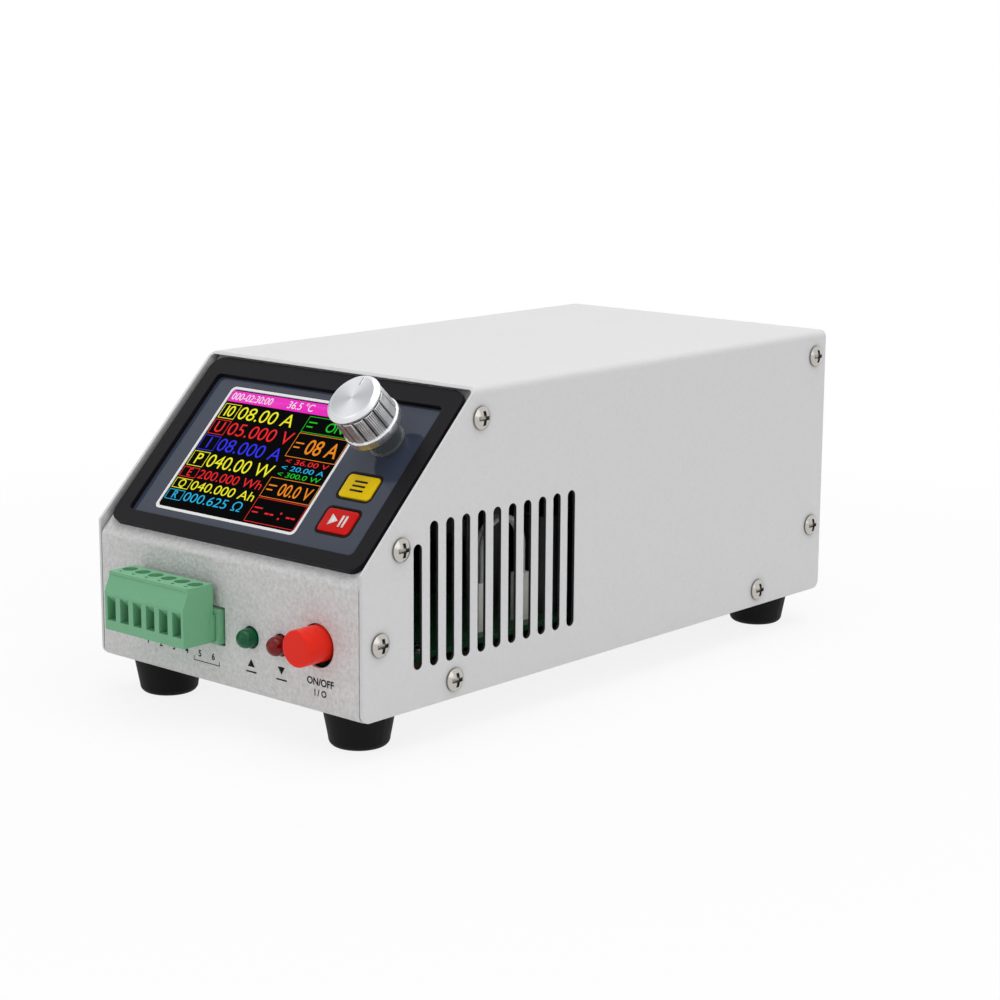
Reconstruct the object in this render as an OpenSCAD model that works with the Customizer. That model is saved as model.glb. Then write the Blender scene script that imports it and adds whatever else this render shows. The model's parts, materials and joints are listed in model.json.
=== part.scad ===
// DC electronic load on rubber feet: a bent sheet case with a sloped display panel, a rotary knob,
// a pluggable terminal block, and a fan cooled power stage on its boards inside.
// Millimetres. X runs across the front, Y from front to rear, Z up.
// The origin lies on the table below the middle of the whole object.

/* [Case] */
// Width across the two side walls
case_w = 98; // [90:1:112]
// Depth from the front face to the rear face
case_d = 195; // [178:1:230]
// Height of the case without its feet
case_h = 78; // [72:1:88]
// Thickness of the case's steel sheet
sheet_t = 0.8; // [0.8:0.1:1.5]
// Outer radius of the sheet's bends
bend_r = 2; // [1.8:0.1:2.4]
// Gap between the cover and the sheets inside it
fit_gap = 0.25; // [0.1:0.05:0.4]
// Angle of the display slope from level
slope_deg = 45; // [43:1:47]
// Depth of the slope's sheet below the edges of the side walls
slope_drop = 2.3; // [2:0.1:2.8]
// Radius of the side walls' bottom corners
wall_corner_r = 2.4; // [1:0.2:4]
// Width of the bent flanges that take the cover screws
flange_w = 11; // [10:0.5:12]
// Length of the bottom flanges under the base plate
foot_flange = 24; // [23:1:28]
// Height of the base plate's side flanges
base_flange_h = 9; // [8.2:0.1:9.4]

/* [Vents] */
// Number of vent slots in each side wall
vent_count = 11; // [7:1:12]
// Width of a vent slot
vent_w = 3; // [2:0.2:3.6]
// Spacing of the vent slots
vent_pitch = 5.85; // [5:0.05:6.2]
// First vent slot's distance from the front
vent_y = 19.5; // [18:0.5:26]
// Height of the slots' lower ends above the case's underside
vent_z = 10; // [9:0.5:14]
// Length of a vent slot
vent_len = 36.7; // [24:0.5:40]
// Length that the first slot is shorter, below the slope
vent_short = 5; // [4:0.5:8]

/* [Cover screws] */
// Diameter of the cover screws' thread
screw_d = 2.9; // [2.6:0.1:3]
// Diameter of the cover screws' pan heads
screw_head_d = 6; // [5:0.2:6.4]
// Height of the cover screws' pan heads
screw_head_h = 1.5; // [1.4:0.1:2.2]
// Length of the cover screws below their heads
screw_len = 5; // [4:0.2:5]
// Radial room of a screw in a tapped hole
tap_gap = 0.05; // [0.03:0.01:0.08]
// Radial room of a screw in a plain hole
screw_gap = 0.25; // [0.15:0.05:0.4]
// Front screws' distance from the front face
front_screw_in = 6.2; // [5.4:0.2:6.6]
// Front screws' distance below the lower end of the slope
front_screw_drop = 18.2; // [14:0.2:22]
// Slope screws' distance below the edge of the slope
slope_screw_in = 6.6; // [6:0.2:7]
// Lower slope screws' distance up the slope
slope_screw_lo = 12.6; // [10:0.2:16]
// Upper slope screws' distance from the top of the slope
slope_screw_hi = 4.5; // [4:0.1:7]
// Bottom screws' height above the case's underside
base_screw_in = 4.8; // [4.6:0.1:5.4]
// Front bottom screws' distance from the front face
base_screw_front = 32.8; // [26:0.2:40]
// Rear bottom screws' distance from the rear face
base_screw_rear = 31.7; // [28:0.2:40]
// Rear screws' distance from the rear face
rear_screw_in = 5.3; // [4.8:0.1:6]
// Lower rear screws' height above the case's underside
rear_screw_lo = 20; // [14:0.5:26]
// Upper rear screws' distance below the case's top
rear_screw_hi = 7.2; // [7:0.1:12]

/* [Feet] */
// Height of the rubber feet
foot_h = 10; // [7:0.5:14]
// Diameter of a foot where it meets the case
foot_top_d = 18.6; // [14:0.2:20]
// Diameter of a foot at the table
foot_base_d = 15.6; // [13:0.2:17]
// Radius of a foot's lower edge
foot_edge_r = 2; // [0.5:0.1:2.6]
// Feet's distance from the side walls
foot_side = 13; // [11.5:0.5:18]
// Front feet's distance from the front face
foot_front = 12; // [11:0.5:14]
// Rear feet's distance from the rear face
foot_rear = 13.5; // [11:0.5:15]
// Depth of rubber above a foot screw's head
foot_seat = 4; // [3:0.5:5]

/* [Display] */
// Distance of the bezel from the lower end of the slope
bezel_lo = 1.1; // [0.8:0.1:2]
// Gap between the bezel's upper edge and the cover's sheet, along the slope
bezel_hi = 0.27; // [0.25:0.01:1.5]
// Length of the bezel along the slope, without its brow
bezel_h = 54.2; // [50:0.2:60]
// Extra width of the bezel's frame at its upper end
bezel_brow = 1.3; // [0.4:0.1:1.8]
// Gap between the bezel and the side walls
bezel_side = 1.7; // [0.8:0.1:2]
// Thickness of the bezel's frame above the sheet
bezel_t = 1.8; // [1.5:0.1:2.1]
// Radius of the bezel's outer corners
bezel_r = 4; // [2:0.2:5]
// Width of the bezel's frame at its sides
rim_side = 4.8; // [4:0.1:5]
// Width of the bezel's frame at its ends
rim_end = 4.1; // [3.8:0.1:4.3]
// Depth of the window below the bezel's frame
win_recess = 1.2; // [0.8:0.1:1.4]
// Thickness of the window
win_t = 1.5; // [1.2:0.1:1.8]
// Gap around the window and the pieces that stand in it
win_gap = 0.15; // [0.1:0.05:0.2]
// Thickness of the tub's walls behind the bezel
tub_t = 1.6; // [1.2:0.1:1.8]
// Width of the ledge under the window's edge
ledge_w = 1; // [0.6:0.1:1.2]
// Depth of the tub below the sheet
tub_depth = 10; // [9.8:0.1:11]
// Depth of the display board below the window
board_depth = 6.2; // [6:0.1:6.6]
// Thickness of the boards
board_t = 1.6; // [1:0.1:2]
// Width of the window beside the screen, for the keys and the knob
key_strip = 23.3; // [22:0.1:27]
// Distance of the screen's frame from the window's lower and upper edges
screen_end = 2.65; // [2:0.05:5]
// Distance of the screen's frame from the window's left edge
screen_in = 7.2; // [6.4:0.1:10]
// Thickness of the screen frame's white edge
screen_rim = 0.8; // [0.6:0.1:1.2]
// Radius of the screen frame's corners
screen_r = 1.6; // [1:0.1:2.4]
// Thickness of the screen's glass panel
lcd_t = 3.2; // [2.4:0.1:3.6]
// Depth of the glass below its frame's edge
lcd_sunk = 0.2; // [0.1:0.05:0.4]

/* [Keys and knob] */
// Distance of the keys' and knob's column from the window's right edge
column_in = 11.9; // [11.4:0.1:12.2]
// Width of a key
key_w = 10.8; // [9:0.1:11]
// Height of a key
key_h = 6.9; // [6:0.1:7.4]
// Radius of a key's corners
key_r = 1.1; // [0.6:0.1:2]
// Height of a key above the window
key_out = 0.4; // [0.3:0.1:1.6]
// Travel of a key
key_travel = 0.5; // [0.3:0.05:0.6]
// Run key's distance from the window's lower edge
run_in = 9.1; // [7:0.1:10]
// Spacing of the two keys
key_pitch = 10.6; // [10:0.1:12]
// Gap around a key in the window
key_gap = 0.35; // [0.25:0.05:0.4]
// Side of a key switch's square body
tact_w = 6; // [5:0.1:6.4]
// Height of a key switch's body
tact_h = 3.4; // [3.2:0.1:3.6]
// Knob's height above the middle between the menu key and the window's upper edge
knob_up = 1.25; // [0:0.05:2]
// Diameter of the knob's skirt
knob_d = 15.8; // [14:0.2:17]
// Height of the knob
knob_h = 11.7; // [9:0.1:14]
// Height of the knob's lower edge above the window
knob_lift = 6.3; // [5.9:0.1:8]
// Number of grooves round the knob
knob_grooves = 14; // [8:1:20]
// Diameter of the knob's shaft
shaft_d = 6; // [5:0.1:6.2]
// Radial room of the shaft in its bush
shaft_gap = 0.05; // [0.03:0.01:0.08]
// Outer diameter of the encoder's bush
bush_d = 7.4; // [7.2:0.1:7.8]
// Height of the encoder's bush above the window
bush_out = 5; // [4.6:0.1:5.2]
// Diameter of the collar nut on the bush
collar_d = 9; // [8.8:0.1:9.6]
// Diameter of the washer under the collar nut
washer_d = 10; // [10:0.1:12]
// Thickness of the washer under the collar nut
washer_t = 0.6; // [0.4:0.1:1]
// Side of the encoder's square body
encoder_w = 12; // [11.4:0.1:12.4]
// Height of the encoder's body
encoder_h = 5.5; // [5.4:0.1:5.9]
// Travel of the knob's push switch
push_travel = 0.5; // [0.3:0.05:0.6]

/* [Front panel parts] */
// Top of the main board above the case's underside
board_z = 11.5; // [11.2:0.1:13]
// Distance of the main board from the front face
board_front = 2.8; // [2.4:0.1:4]
// Distance of the main board from the side walls' insides
board_side = 4.9; // [4:0.1:6]
// Gap between the terminal header and the green lamp's axis
term_gap = 10.16; // [8:0.01:11]
// Spacing of the terminals
term_pitch = 5.08; // [5:0.02:5.08]
// Width of the header beyond the terminals
header_extra = 3.2; // [3:0.1:3.4]
// Height of the header
header_h = 8.9; // [8.6:0.1:9.2]
// Depth of the header
header_d = 12; // [11.6:0.1:13]
// Reach of the header in front of the panel
header_out = 1.8; // [1.6:0.1:2.2]
// Thickness of the header's walls
header_t = 1; // [0.8:0.1:1.1]
// Side of a contact pin
pin_w = 1; // [0.8:0.05:1]
// Gap round the header in the panel
cutout_gap = 0.6; // [0.4:0.1:1]
// Gap between the plug and the header
plug_gap = 0.2; // [0.15:0.05:0.3]
// Plug's lower face above the main board
plug_lift = 0.6; // [0.4:0.1:0.8]
// Height of the plug
plug_h = 15.2; // [15:0.1:16.5]
// Depth of the plug in front of the header
plug_d = 10.2; // [10.2:0.1:11]
// Depth of the plug's top face
plug_top_d = 8.4; // [8:0.1:9]
// Depth of the plug's tongue in the header
tongue_d = 8.6; // [8:0.1:8.8]
// Travel of the plug as it is pulled off
plug_travel = 14; // [12:1:20]
// Width of a wire entry
entry_w = 3.3; // [3:0.1:3.5]
// Height of a wire entry at the plug's face
entry_h = 6.4; // [6:0.1:6.6]
// Terminal screws' distance from the plug's rear face
term_screw_in = 3.5; // [3.4:0.1:3.6]
// Diameter of a terminal screw's head
term_head_d = 3.5; // [3.2:0.1:3.6]
// Diameter of a terminal screw's thread
term_screw_d = 2.5; // [2.2:0.1:2.5]
// Rise of a wire clamp as its screw is tightened
clamp_rise = 2.4; // [1.6:0.1:2.4]
// Diameter of the indicator lamps
led_d = 5; // [4.6:0.1:5.2]
// Diameter of the lamps' holes in the panel
led_hole_d = 5.8; // [5.6:0.1:6.2]
// Height of the lamps above the main board
led_lift = 3.55; // [3.4:0.05:4]
// Reach of the lamps' domes in front of the panel
led_out = 4.2; // [3.6:0.1:5]
// Spacing of the lamps
lamp_pitch = 11; // [8:0.1:12]
// Red lamp's distance from the power button
red_in = 13; // [11:0.1:14]
// Power button's distance from the side wall
button_side = 15.2; // [13.6:0.1:16]
// Height of the power button above the main board
button_lift = 6.3; // [6:0.1:6.6]
// Diameter of the power button
button_d = 9.4; // [8.4:0.1:9.6]
// Diameter of the power button's hole
button_hole_d = 11.2; // [11:0.1:12]
// Height of the button's axis above its hole's middle
button_rise = 0.55; // [0:0.05:0.6]
// Reach of the power button in front of the panel
button_out = 7.6; // [6:0.1:9]
// Travel of the power button
button_travel = 3; // [2:0.1:3.2]
// Side of the power switch's body
switch_w = 9; // [8:0.1:9.6]
// Side of the power switch's stem
stem_w = 4; // [3:0.1:4.4]

/* [Inside] */
// Width across the flats of the board's standoffs
post_d = 5.5; // [5:0.1:6]
// Standoffs' distance from the main board's side edges
post_side = 4.6; // [4.2:0.1:6]
// Front standoffs' distance from the front face
post_front = 30; // [28:0.5:34]
// Rear standoffs' distance from the rear face
post_rear = 46; // [44:0.5:52]
// Heatsink's distance from the main board's side edges
sink_side = 7.3; // [6.8:0.1:12]
// Heatsink's distance from the front face
sink_front = 95; // [88:1:104]
// Heatsink's distance from the rear face
sink_rear = 34; // [33:1:38]
// Height of the heatsink's underside above the main board
sink_lift = 12; // [11:0.5:14]
// Height of the heatsink
sink_h = 44; // [36:1:48]
// Thickness of the heatsink's base
sink_base = 5; // [4:0.5:7]
// Number of the heatsink's fins
fin_count = 13; // [9:1:15]
// Thickness of a fin
fin_t = 1.6; // [1.2:0.1:2]
// Diameter of the capacitors
cap_d = 16; // [12:0.5:17]
// Height of the capacitors
cap_h = 27; // [20:0.5:30]

/* [Fan and rear panel] */
// Side of the fan's square frame
fan_w = 50; // [48:1:54]
// Depth of the fan
fan_t = 20; // [18:0.5:22]
// Thickness of the fan's frame beside its air way
fan_wall = 1.5; // [1.2:0.1:3]
// Fan screws' distance from the frame's edges
fan_screw_in = 5; // [4.4:0.1:5.2]
// Gap between the fan and the rear panel's side flange
fan_side = 5.15; // [3:0.05:6]
// Number of fan blades
blade_count = 7; // [5:1:9]
// Thickness of the guard's wires
guard_wire = 1.6; // [1.2:0.1:2]
// Supply jack's distance from the rear panel's side flange
jack_side = 14.15; // [8:0.05:16]
// Height of the supply jack's axis above the main board
jack_lift = 6.5; // [6.2:0.1:7]
// Diameter of the supply jack's socket
jack_bore = 6.4; // [6:0.1:6.6]

/* [Hidden] */
$fn = 64;

// Length that a cutter runs past the face it opens
over = 1;
// Radii of the screws and their holes
screw_r = screw_d / 2;
tap_r = screw_r + tap_gap;
hole_r = screw_r + screw_gap;
// The case's slope, whose length follows the bezel that lies on it
slope_len = bezel_lo + bezel_h + bezel_brow + bezel_hi + sheet_t / sin(slope_deg);
front_h = case_h - slope_len * sin(slope_deg);
slope_run = slope_len * cos(slope_deg);
inner_w = case_w - 2 * sheet_t;
panel_w = inner_w - 2 * fit_gap;
inner_top = case_h - sheet_t - fit_gap;
// Height of the slope sheet's bend and length of the sheet up the slope
bend_z = front_h - slope_drop / cos(slope_deg);
bend_run = bend_r * tan((90 - slope_deg) / 2);
slope_low = bend_run - slope_drop * tan(slope_deg);
slope_top = (inner_top - front_h + slope_drop * cos(slope_deg)) / sin(slope_deg);
flange_gap = 3;
base_top = 2 * sheet_t;
foot_screw_end = 1;

// Points in the side view of a place s up the slope and off above it
function slope_y(s, off) = s * cos(slope_deg) - off * sin(slope_deg);
function slope_z(s, off) = front_h + s * sin(slope_deg) + off * cos(slope_deg);
function slope_point(s, off) = [slope_y(s, off), slope_z(s, off)];

// Heights above the slope's edge line of the display's layers
sheet_out = -slope_drop;
sheet_in = sheet_out - sheet_t;
bezel_top = sheet_out + bezel_t;
win_top = bezel_top - win_recess;
win_bot = win_top - win_t;
board_top = win_bot - board_depth;
board_bot = board_top - board_t;
tub_bot = sheet_out - tub_depth;
bezel_w = case_w - 2 * (sheet_t + bezel_side);
bezel_mid = bezel_lo + bezel_h / 2;
win_w = bezel_w - 2 * rim_side;
win_h = bezel_h - 2 * rim_end;
win_r = 1.5;
tub_w = win_w + 2 * tub_t;
tub_h = win_h + 2 * tub_t;
well_w = win_w - 2 * ledge_w;
well_h = win_h - 2 * ledge_w;
tub_gap = 0.3;
clip_w = 8;
clip_out = 0.9;
clip_h = 3;
screen_w = win_w - screen_in - key_strip;
screen_h = win_h - 2 * screen_end;
screen_x = -win_w / 2 + screen_in + screen_w / 2;
column_x = win_w / 2 - column_in;
win_lo = bezel_lo + rim_end;
run_s = win_lo + run_in;
menu_s = run_s + key_pitch;
knob_s = (menu_s + win_lo + win_h) / 2 + knob_up;
// Bosses that hold the display board, and its screws
boss_r = 2.1;
boss_in = 1.7;
boss_rest = 0.4;
boss_x = well_w / 2 - boss_in;
boss_s = well_h / 2 - boss_in;
small_screw_r = 1;
small_head_r = 1.5;
small_head_h = 1.3;
small_len = 5;
// Keys: the flange below the window, the stem and the switch's plunger
key_flange = 0.8;
key_flange_t = 0.6;
key_rest = 0.2;
key_bot = win_bot - key_rest - key_flange_t;
tact_top = board_top + tact_h;
plunger_r = 1.7;
plunger_gap = 0.1;
plunger_top = key_bot - key_rest;
plunger_in = 1.6;
plunger_low = tact_top - plunger_in;
tact_floor = 0.8;
// Encoder: the cavity for its rotor and push plate
encoder_top = board_top + encoder_h;
cavity_r = 4.4;
cavity_floor = 0.5;
plate_t = 0.8;
plate_r = 3.6;
plate_gap = 0.1;
plate_low = board_top + cavity_floor + push_travel + plate_gap;
shaft_low = plate_low + plate_t + plate_gap;
rotor_r = 3.9;
rotor_t = 1;
bush_r = bush_d / 2;
bush_top = win_top + bush_out;
collar_gap = 0.05;
collar_over = 0.2;
collar_top = bush_top + collar_over;
knob_low = win_top + knob_lift;
knob_top = knob_low + knob_h;
shaft_r = shaft_d / 2;
knob_cap = 2;
shaft_top = knob_top - knob_cap;
// Front panel parts on the main board
board_w = inner_w - 2 * board_side;
board_low = board_z - board_t;
board_rear_gap = 1;
board_rear = case_d - sheet_t - board_rear_gap;
term_count = 6;
term_w = term_count * term_pitch;
header_w = term_w + header_extra;
button_x = case_w / 2 - button_side;
red_x = button_x - red_in;
green_x = red_x - lamp_pitch;
term_x = green_x - term_gap - header_w / 2;
pin_z = board_z + header_h / 2;
plug_rear = -header_out - plug_gap;
plug_low = board_z + plug_lift;
plug_top = plug_low + plug_h;
plug_face = plug_rear - plug_d;
plug_lip = plug_rear - plug_top_d;
plug_lip_h = 0.8;
plug_bevel = 0.2;
ridge_h = 9.7;
ridge_z = plug_low + ridge_h;
cell_y = plug_rear - term_screw_in;
cell_w = 4.3;
cell_d = 4.8;
cell_floor = 1;
cell_low = plug_low + cell_floor;
clamp_gap = 0.15;
clamp_room = 0.2;
clamp_t = 1.15;
clamp_low = cell_low + clamp_gap;
clamp_h = 6.6;
cell_top = clamp_low + clamp_h + clamp_rise + clamp_room;
roof_t = 0.7;
head_seat = cell_top + roof_t;
thread_gap = 0.1;
well_gap = 0.3;
contact_w = 2.4;
contact_gap = 0.1;
bar_t = 0.7;
bar_gap = 0.25;
bar_top = clamp_low + clamp_h - clamp_t - bar_gap;
bar_low = bar_top - bar_t;
entry_floor = 2.6;
entry_z = plug_low + entry_floor;
entry_neck = 0.65 * entry_h;
entry_taper = 2.6;
probe_w = 1.2;
probe_l = 0.8;
probe_in = 1.3;
probe_deep = 3;
led_r = led_d / 2;
led_z = board_z + led_lift;
led_flange_y = 5.5;
led_flange_t = 1;
led_flange = 0.4;
led_flange_r = led_r + led_flange;
lead_w = 0.5;
lead_x = 1.27;
lead_run = 2.5;
holder_d = 4;
holder_t = 1;
button_z = board_z + button_lift;
button_in = 3;
button_edge = 0.7;
switch_gap = 1;
switch_y = button_in + button_travel + switch_gap;
switch_d = 17;
stem_gap = 0.15;
stem_in = 9;
stem_rear = switch_y + stem_in;
// Inside: standoffs, heatsink, capacitors
post_sides = 6;
post_r = post_d / 2 / cos(180 / post_sides);
post_x = board_w / 2 - post_side;
sink_low = board_z + sink_lift;
sink_w = board_w - 2 * sink_side;
sink_y = sink_front;
sink_l = case_d - sink_rear - sink_front;
sink_post_r = 3;
sink_post_in = 5;
mosfet_w = 15.8;
mosfet_l = 20.6;
mosfet_t = 5;
cap_in = 2;
cap_gap = 1.5;
cap_edge = 1;
cap_x = board_w / 2 - cap_d / 2 - cap_in;
cap_y = sink_y - cap_d / 2 - cap_in;
cap_points = [[cap_x, cap_y], [cap_x - cap_d - cap_gap, cap_y], [-cap_x, cap_y]];
// Cable sockets on the boards, and the flat cable between two of them
socket_h = 7;
socket_d = 6;
socket_rim = 1;
low_socket_h = 3;
ribbon_x = -15;
ribbon_w = 9;
ribbon_t = 1;
ribbon_reach = 18;
ribbon_drop = 5;
ribbon_s = bezel_mid;
ribbon_y = slope_y(ribbon_s, board_bot) + ribbon_reach;
ribbon_end = board_z + socket_h;
ribbon_out = slope_point(ribbon_s, board_bot - low_socket_h);
ribbon_path = [ribbon_out, ribbon_out + ribbon_drop * [sin(slope_deg), -cos(slope_deg)],
    [ribbon_y - 2 * ribbon_t, ribbon_end + 2 * ribbon_drop], [ribbon_y, ribbon_end + ribbon_drop],
    [ribbon_y, ribbon_end]];
// Two tall sockets beside the vents and the round wires that link them
sensor_y = 54;
sensor_w = 4;
sensor_d = 3;
sensor_h = 13;
sensor_in = 5;
sensor_x = board_w / 2 - sensor_in;
link_run = 16;
link_up = 8;
link_gap = 0.8;
fan_socket_in = 4.2;
fan_socket_rear = 62;
fan_socket_w = 8;
fan_socket_x = -board_w / 2 + fan_socket_in;
fan_socket_y = case_d - fan_socket_rear;
// Fan, guard and jack at the rear, the fan midway between the main board and the top
rear_in = panel_w / 2 - sheet_t;
fan_x = -rear_in + fan_side + fan_w / 2;
fan_bore = fan_w - 2 * fan_wall;
fan_pitch = fan_w - 2 * fan_screw_in;
fan_z = (board_z + inner_top) / 2;
jack_x = rear_in - jack_side;
fan_front = case_d - sheet_t - fan_t;
hub_r = 12.5;
hub_plate = 3;
axle_r = 1.5;
axle_gap = 0.05;
fan_hole_r = 2.15;
fan_screw_r = 1.95;
fan_head_r = 3.4;
fan_head_h = 2.1;
fan_screw_len = 11;
fan_corner_r = 3;
arm_count = 3;
rotor_gap = 0.3;
rotor_in = 2;
hub_edge = 1.5;
tip_gap = 1;
blade_t = 1.3;
blade_deg = 40;
guard_rings = 4;
guard_step = (fan_bore / 2 - tip_gap) / guard_rings;
ring_rise = 1.35 * guard_wire;
guard_rear = case_d + guard_wire;
lead_d = 1.4;
lead_gap = 1;
lead_up = 10;
lead_bend_r = 5;
lead_z = fan_z - fan_w / 2 + lead_up;
jack_z = board_z + jack_lift;
jack_w = 9;
jack_l = 14;
jack_nose_r = 4.3;
jack_nose = 0.6;
jack_deep = 9;
jack_pin_l = 9.5;
// Reach of the whole object, for the origin below its middle
y_front = plug_face;
y_rear = guard_rear + fan_head_h;
y_mid = (y_front + y_rear) / 2;

// Cover screws in the side view: front, slope, bottom and rear
front_screws = [[front_screw_in, front_h - front_screw_drop],
    slope_point(slope_screw_lo, -slope_screw_in),
    slope_point(slope_len - slope_screw_hi, -slope_screw_in)];
base_screws = [[base_screw_front, base_screw_in], [case_d - base_screw_rear, base_screw_in]];
rear_screws = [[case_d - rear_screw_in, rear_screw_lo], [case_d - rear_screw_in, case_h - rear_screw_hi]];
cover_points = concat(front_screws, base_screws, rear_screws);
foot_x = case_w / 2 - foot_side;
foot_points = [for (x = [-foot_x, foot_x], y = [foot_front, case_d - foot_rear]) [x, y]];
post_points = [for (x = [-post_x, post_x], y = [post_front, case_d - post_rear]) [x, y]];
sink_points = [for (x = [-1, 1], y = [sink_y + sink_post_in, sink_y + sink_l - sink_post_in])
    [x * (sink_w / 2 - sink_post_in), y]];
boss_points = [for (x = [-boss_x, boss_x], s = [-boss_s, boss_s]) [x, s]];
fan_points = [for (x = [-1, 1], z = [-1, 1]) [fan_x + x * fan_pitch / 2, fan_z + z * fan_pitch / 2]];
function term_place(i) = term_x + (i - (term_count - 1) / 2) * term_pitch;

// Places: the object's frame, the slope, and axes that face front, rear, right or left
module placed() { translate([0, -y_mid, foot_h]) children(); }
module on_slope() { translate([0, 0, front_h]) rotate([slope_deg, 0, 0]) children(); }
module at_column(s) { on_slope() translate([column_x, s, 0]) children(); }
module facing_front(x, y, z) { translate([x, y, z]) rotate([90, 0, 0]) children(); }
module facing_rear(x, y, z) { translate([x, y, z]) rotate([-90, 0, 0]) children(); }
module along_y(y0, y1) { translate([0, y1, 0]) rotate([90, 0, 0]) linear_extrude(y1 - y0) children(); }
module along_x(x0, x1) { translate([x0, 0, 0]) rotate([90, 0, 90]) linear_extrude(x1 - x0) children(); }
module across(w) { along_x(-w / 2, w / 2) children(); }

// A box from its low corner to its high corner
module block(low, high) { translate(low) cube(high - low); }

// A rectangle with round corners about its middle
module round_rect(w, h, r) {
    square([w - 2 * r, h], center = true);
    square([w, h - 2 * r], center = true);
    for (x = [-1, 1], y = [-1, 1])
        translate([x * (w / 2 - r), y * (h / 2 - r)]) circle(r);
}

// A plate with round corners between two heights
module round_plate(w, h, r, z0, z1) { translate([0, 0, z0]) linear_extrude(z1 - z0) round_rect(w, h, r); }

// A section with a square foot and round upper corners
module arch(w, h, r) {
    translate([-w / 2, 0]) square([w, h - r]);
    translate([-w / 2 + r, 0]) square([w - 2 * r, h]);
    for (x = [-1, 1]) translate([x * (w / 2 - r), h - r]) circle(r);
}

// Section of a bent sheet: the stretch of a ring between two angles
module bend(r, a0, a1) {
    far = 2 * r;
    intersection() {
        difference() {
            circle(r);
            circle(r - sheet_t);
        }
        polygon([[0, 0], far * [cos(a0), sin(a0)], far * [cos(a1), sin(a1)]]);
    }
}

// What lies outside a round corner of radius r at the origin
module corner_waste(r) {
    difference() {
        translate([-over, -over]) square(r + over);
        translate([r, r]) circle(r);
    }
}

// A disc with a round upper edge
module round_disc(r, h, edge) {
    rotate_extrude() {
        square([r - edge, h]);
        square([r, h - edge]);
        translate([r - edge, h - edge]) intersection() {
            circle(edge);
            square(edge);
        }
    }
}

// A pan head screw with a cross recess, its head above the origin and its shank below
module pan_screw(shank_r, len, head_r, head_h) {
    dome = 1.6 * head_r;
    recess = [1.2 * head_r, 0.32 * head_r, 1.3 * head_h];
    difference() {
        union() {
            intersection() {
                cylinder(h = head_h, r = head_r);
                translate([0, 0, head_h - dome]) sphere(dome);
            }
            translate([0, 0, -len]) cylinder(h = len + head_h / 2, r = shank_r);
        }
        for (turn = [0, 90])
            rotate(turn) translate([0, 0, head_h]) cube(recess, center = true);
    }
}

// Holes across both walls at points of the side view
module side_holes(points, r) {
    for (p = points) translate([-case_w, p[0], p[1]]) rotate([0, 90, 0]) cylinder(h = 2 * case_w, r = r);
}

// Upright holes through the sheets at the bottom
module floor_holes(points, r) {
    for (p = points) translate([p[0], p[1], -over]) cylinder(h = base_top + 2 * over, r = r);
}

// Outline of the side walls, from the front face to the rear face
module wall_outline() {
    difference() {
        polygon([[0, 0], [0, front_h], [slope_run, case_h], [case_d, case_h], [case_d, 0]]);
        corner_waste(wall_corner_r);
        translate([case_d, 0]) mirror([1, 0]) corner_waste(wall_corner_r);
    }
}

// One upright vent slot with round ends, its lower end at the origin
module vent_slot(len) {
    r = vent_w / 2;
    translate([-r, r]) square([vent_w, len - vent_w]);
    for (z = [r, len - r]) translate([0, z]) circle(r);
}

// Folded cover: the top and both side walls in one sheet
module top_cover() color("gainsboro") placed() difference() {
    intersection() {
        along_y(0, case_d) difference() {
            arch(case_w, case_h, bend_r);
            translate([0, -over]) arch(inner_w, case_h - sheet_t + over, bend_r - sheet_t);
        }
        across(case_w + 2 * over) wall_outline();
    }
    for (i = [0 : vent_count - 1])
        across(case_w + 2 * over) translate([vent_y + i * vent_pitch, vent_z])
            vent_slot(i == 0 ? vent_len - vent_short : vent_len);
    side_holes(cover_points, hole_r);
}

// Folded front: bottom flange, upright face and slope, with flanges for the cover screws
module front_panel() color("silver") placed() difference() {
    union() {
        across(panel_w) {
            translate([bend_r, 0]) square([foot_flange - bend_r, sheet_t]);
            translate([bend_r, bend_r]) bend(bend_r, 180, 270);
            translate([0, bend_r]) square([sheet_t, bend_z - bend_run - bend_r]);
            translate([bend_r, bend_z - bend_run]) bend(bend_r, 90 + slope_deg, 180);
            translate([0, front_h]) rotate(slope_deg) translate([slope_low, sheet_in])
                square([slope_top - slope_low, sheet_t]);
        }
        for (side = [0, 1]) mirror([side, 0, 0]) along_x(panel_w / 2 - sheet_t, panel_w / 2) {
            translate([sheet_t / 2, 2 * flange_gap])
                square([flange_w - sheet_t / 2, bend_z - 4 * flange_gap]);
            translate([0, front_h]) rotate(slope_deg) translate([flange_gap, -flange_w])
                square([slope_top - 1.5 * flange_gap, flange_w + sheet_in + sheet_t / 2]);
        }
    }
    side_holes(front_screws, tap_r);
    floor_holes(foot_points, hole_r);
    on_slope() translate([0, bezel_mid, 0])
        round_plate(tub_w + 2 * tub_gap, tub_h + 2 * tub_gap, win_r, sheet_in - over, sheet_out + over);
    block([term_x - header_w / 2 - cutout_gap, -over, board_z - cutout_gap],
        [term_x + header_w / 2 + cutout_gap, sheet_t + over, board_z + header_h + cutout_gap]);
    for (x = [green_x, red_x])
        facing_front(x, sheet_t + over, led_z) cylinder(h = sheet_t + 2 * over, d = led_hole_d);
    facing_front(button_x, sheet_t + over, button_z - button_rise)
        cylinder(h = sheet_t + 2 * over, d = button_hole_d);
}

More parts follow.
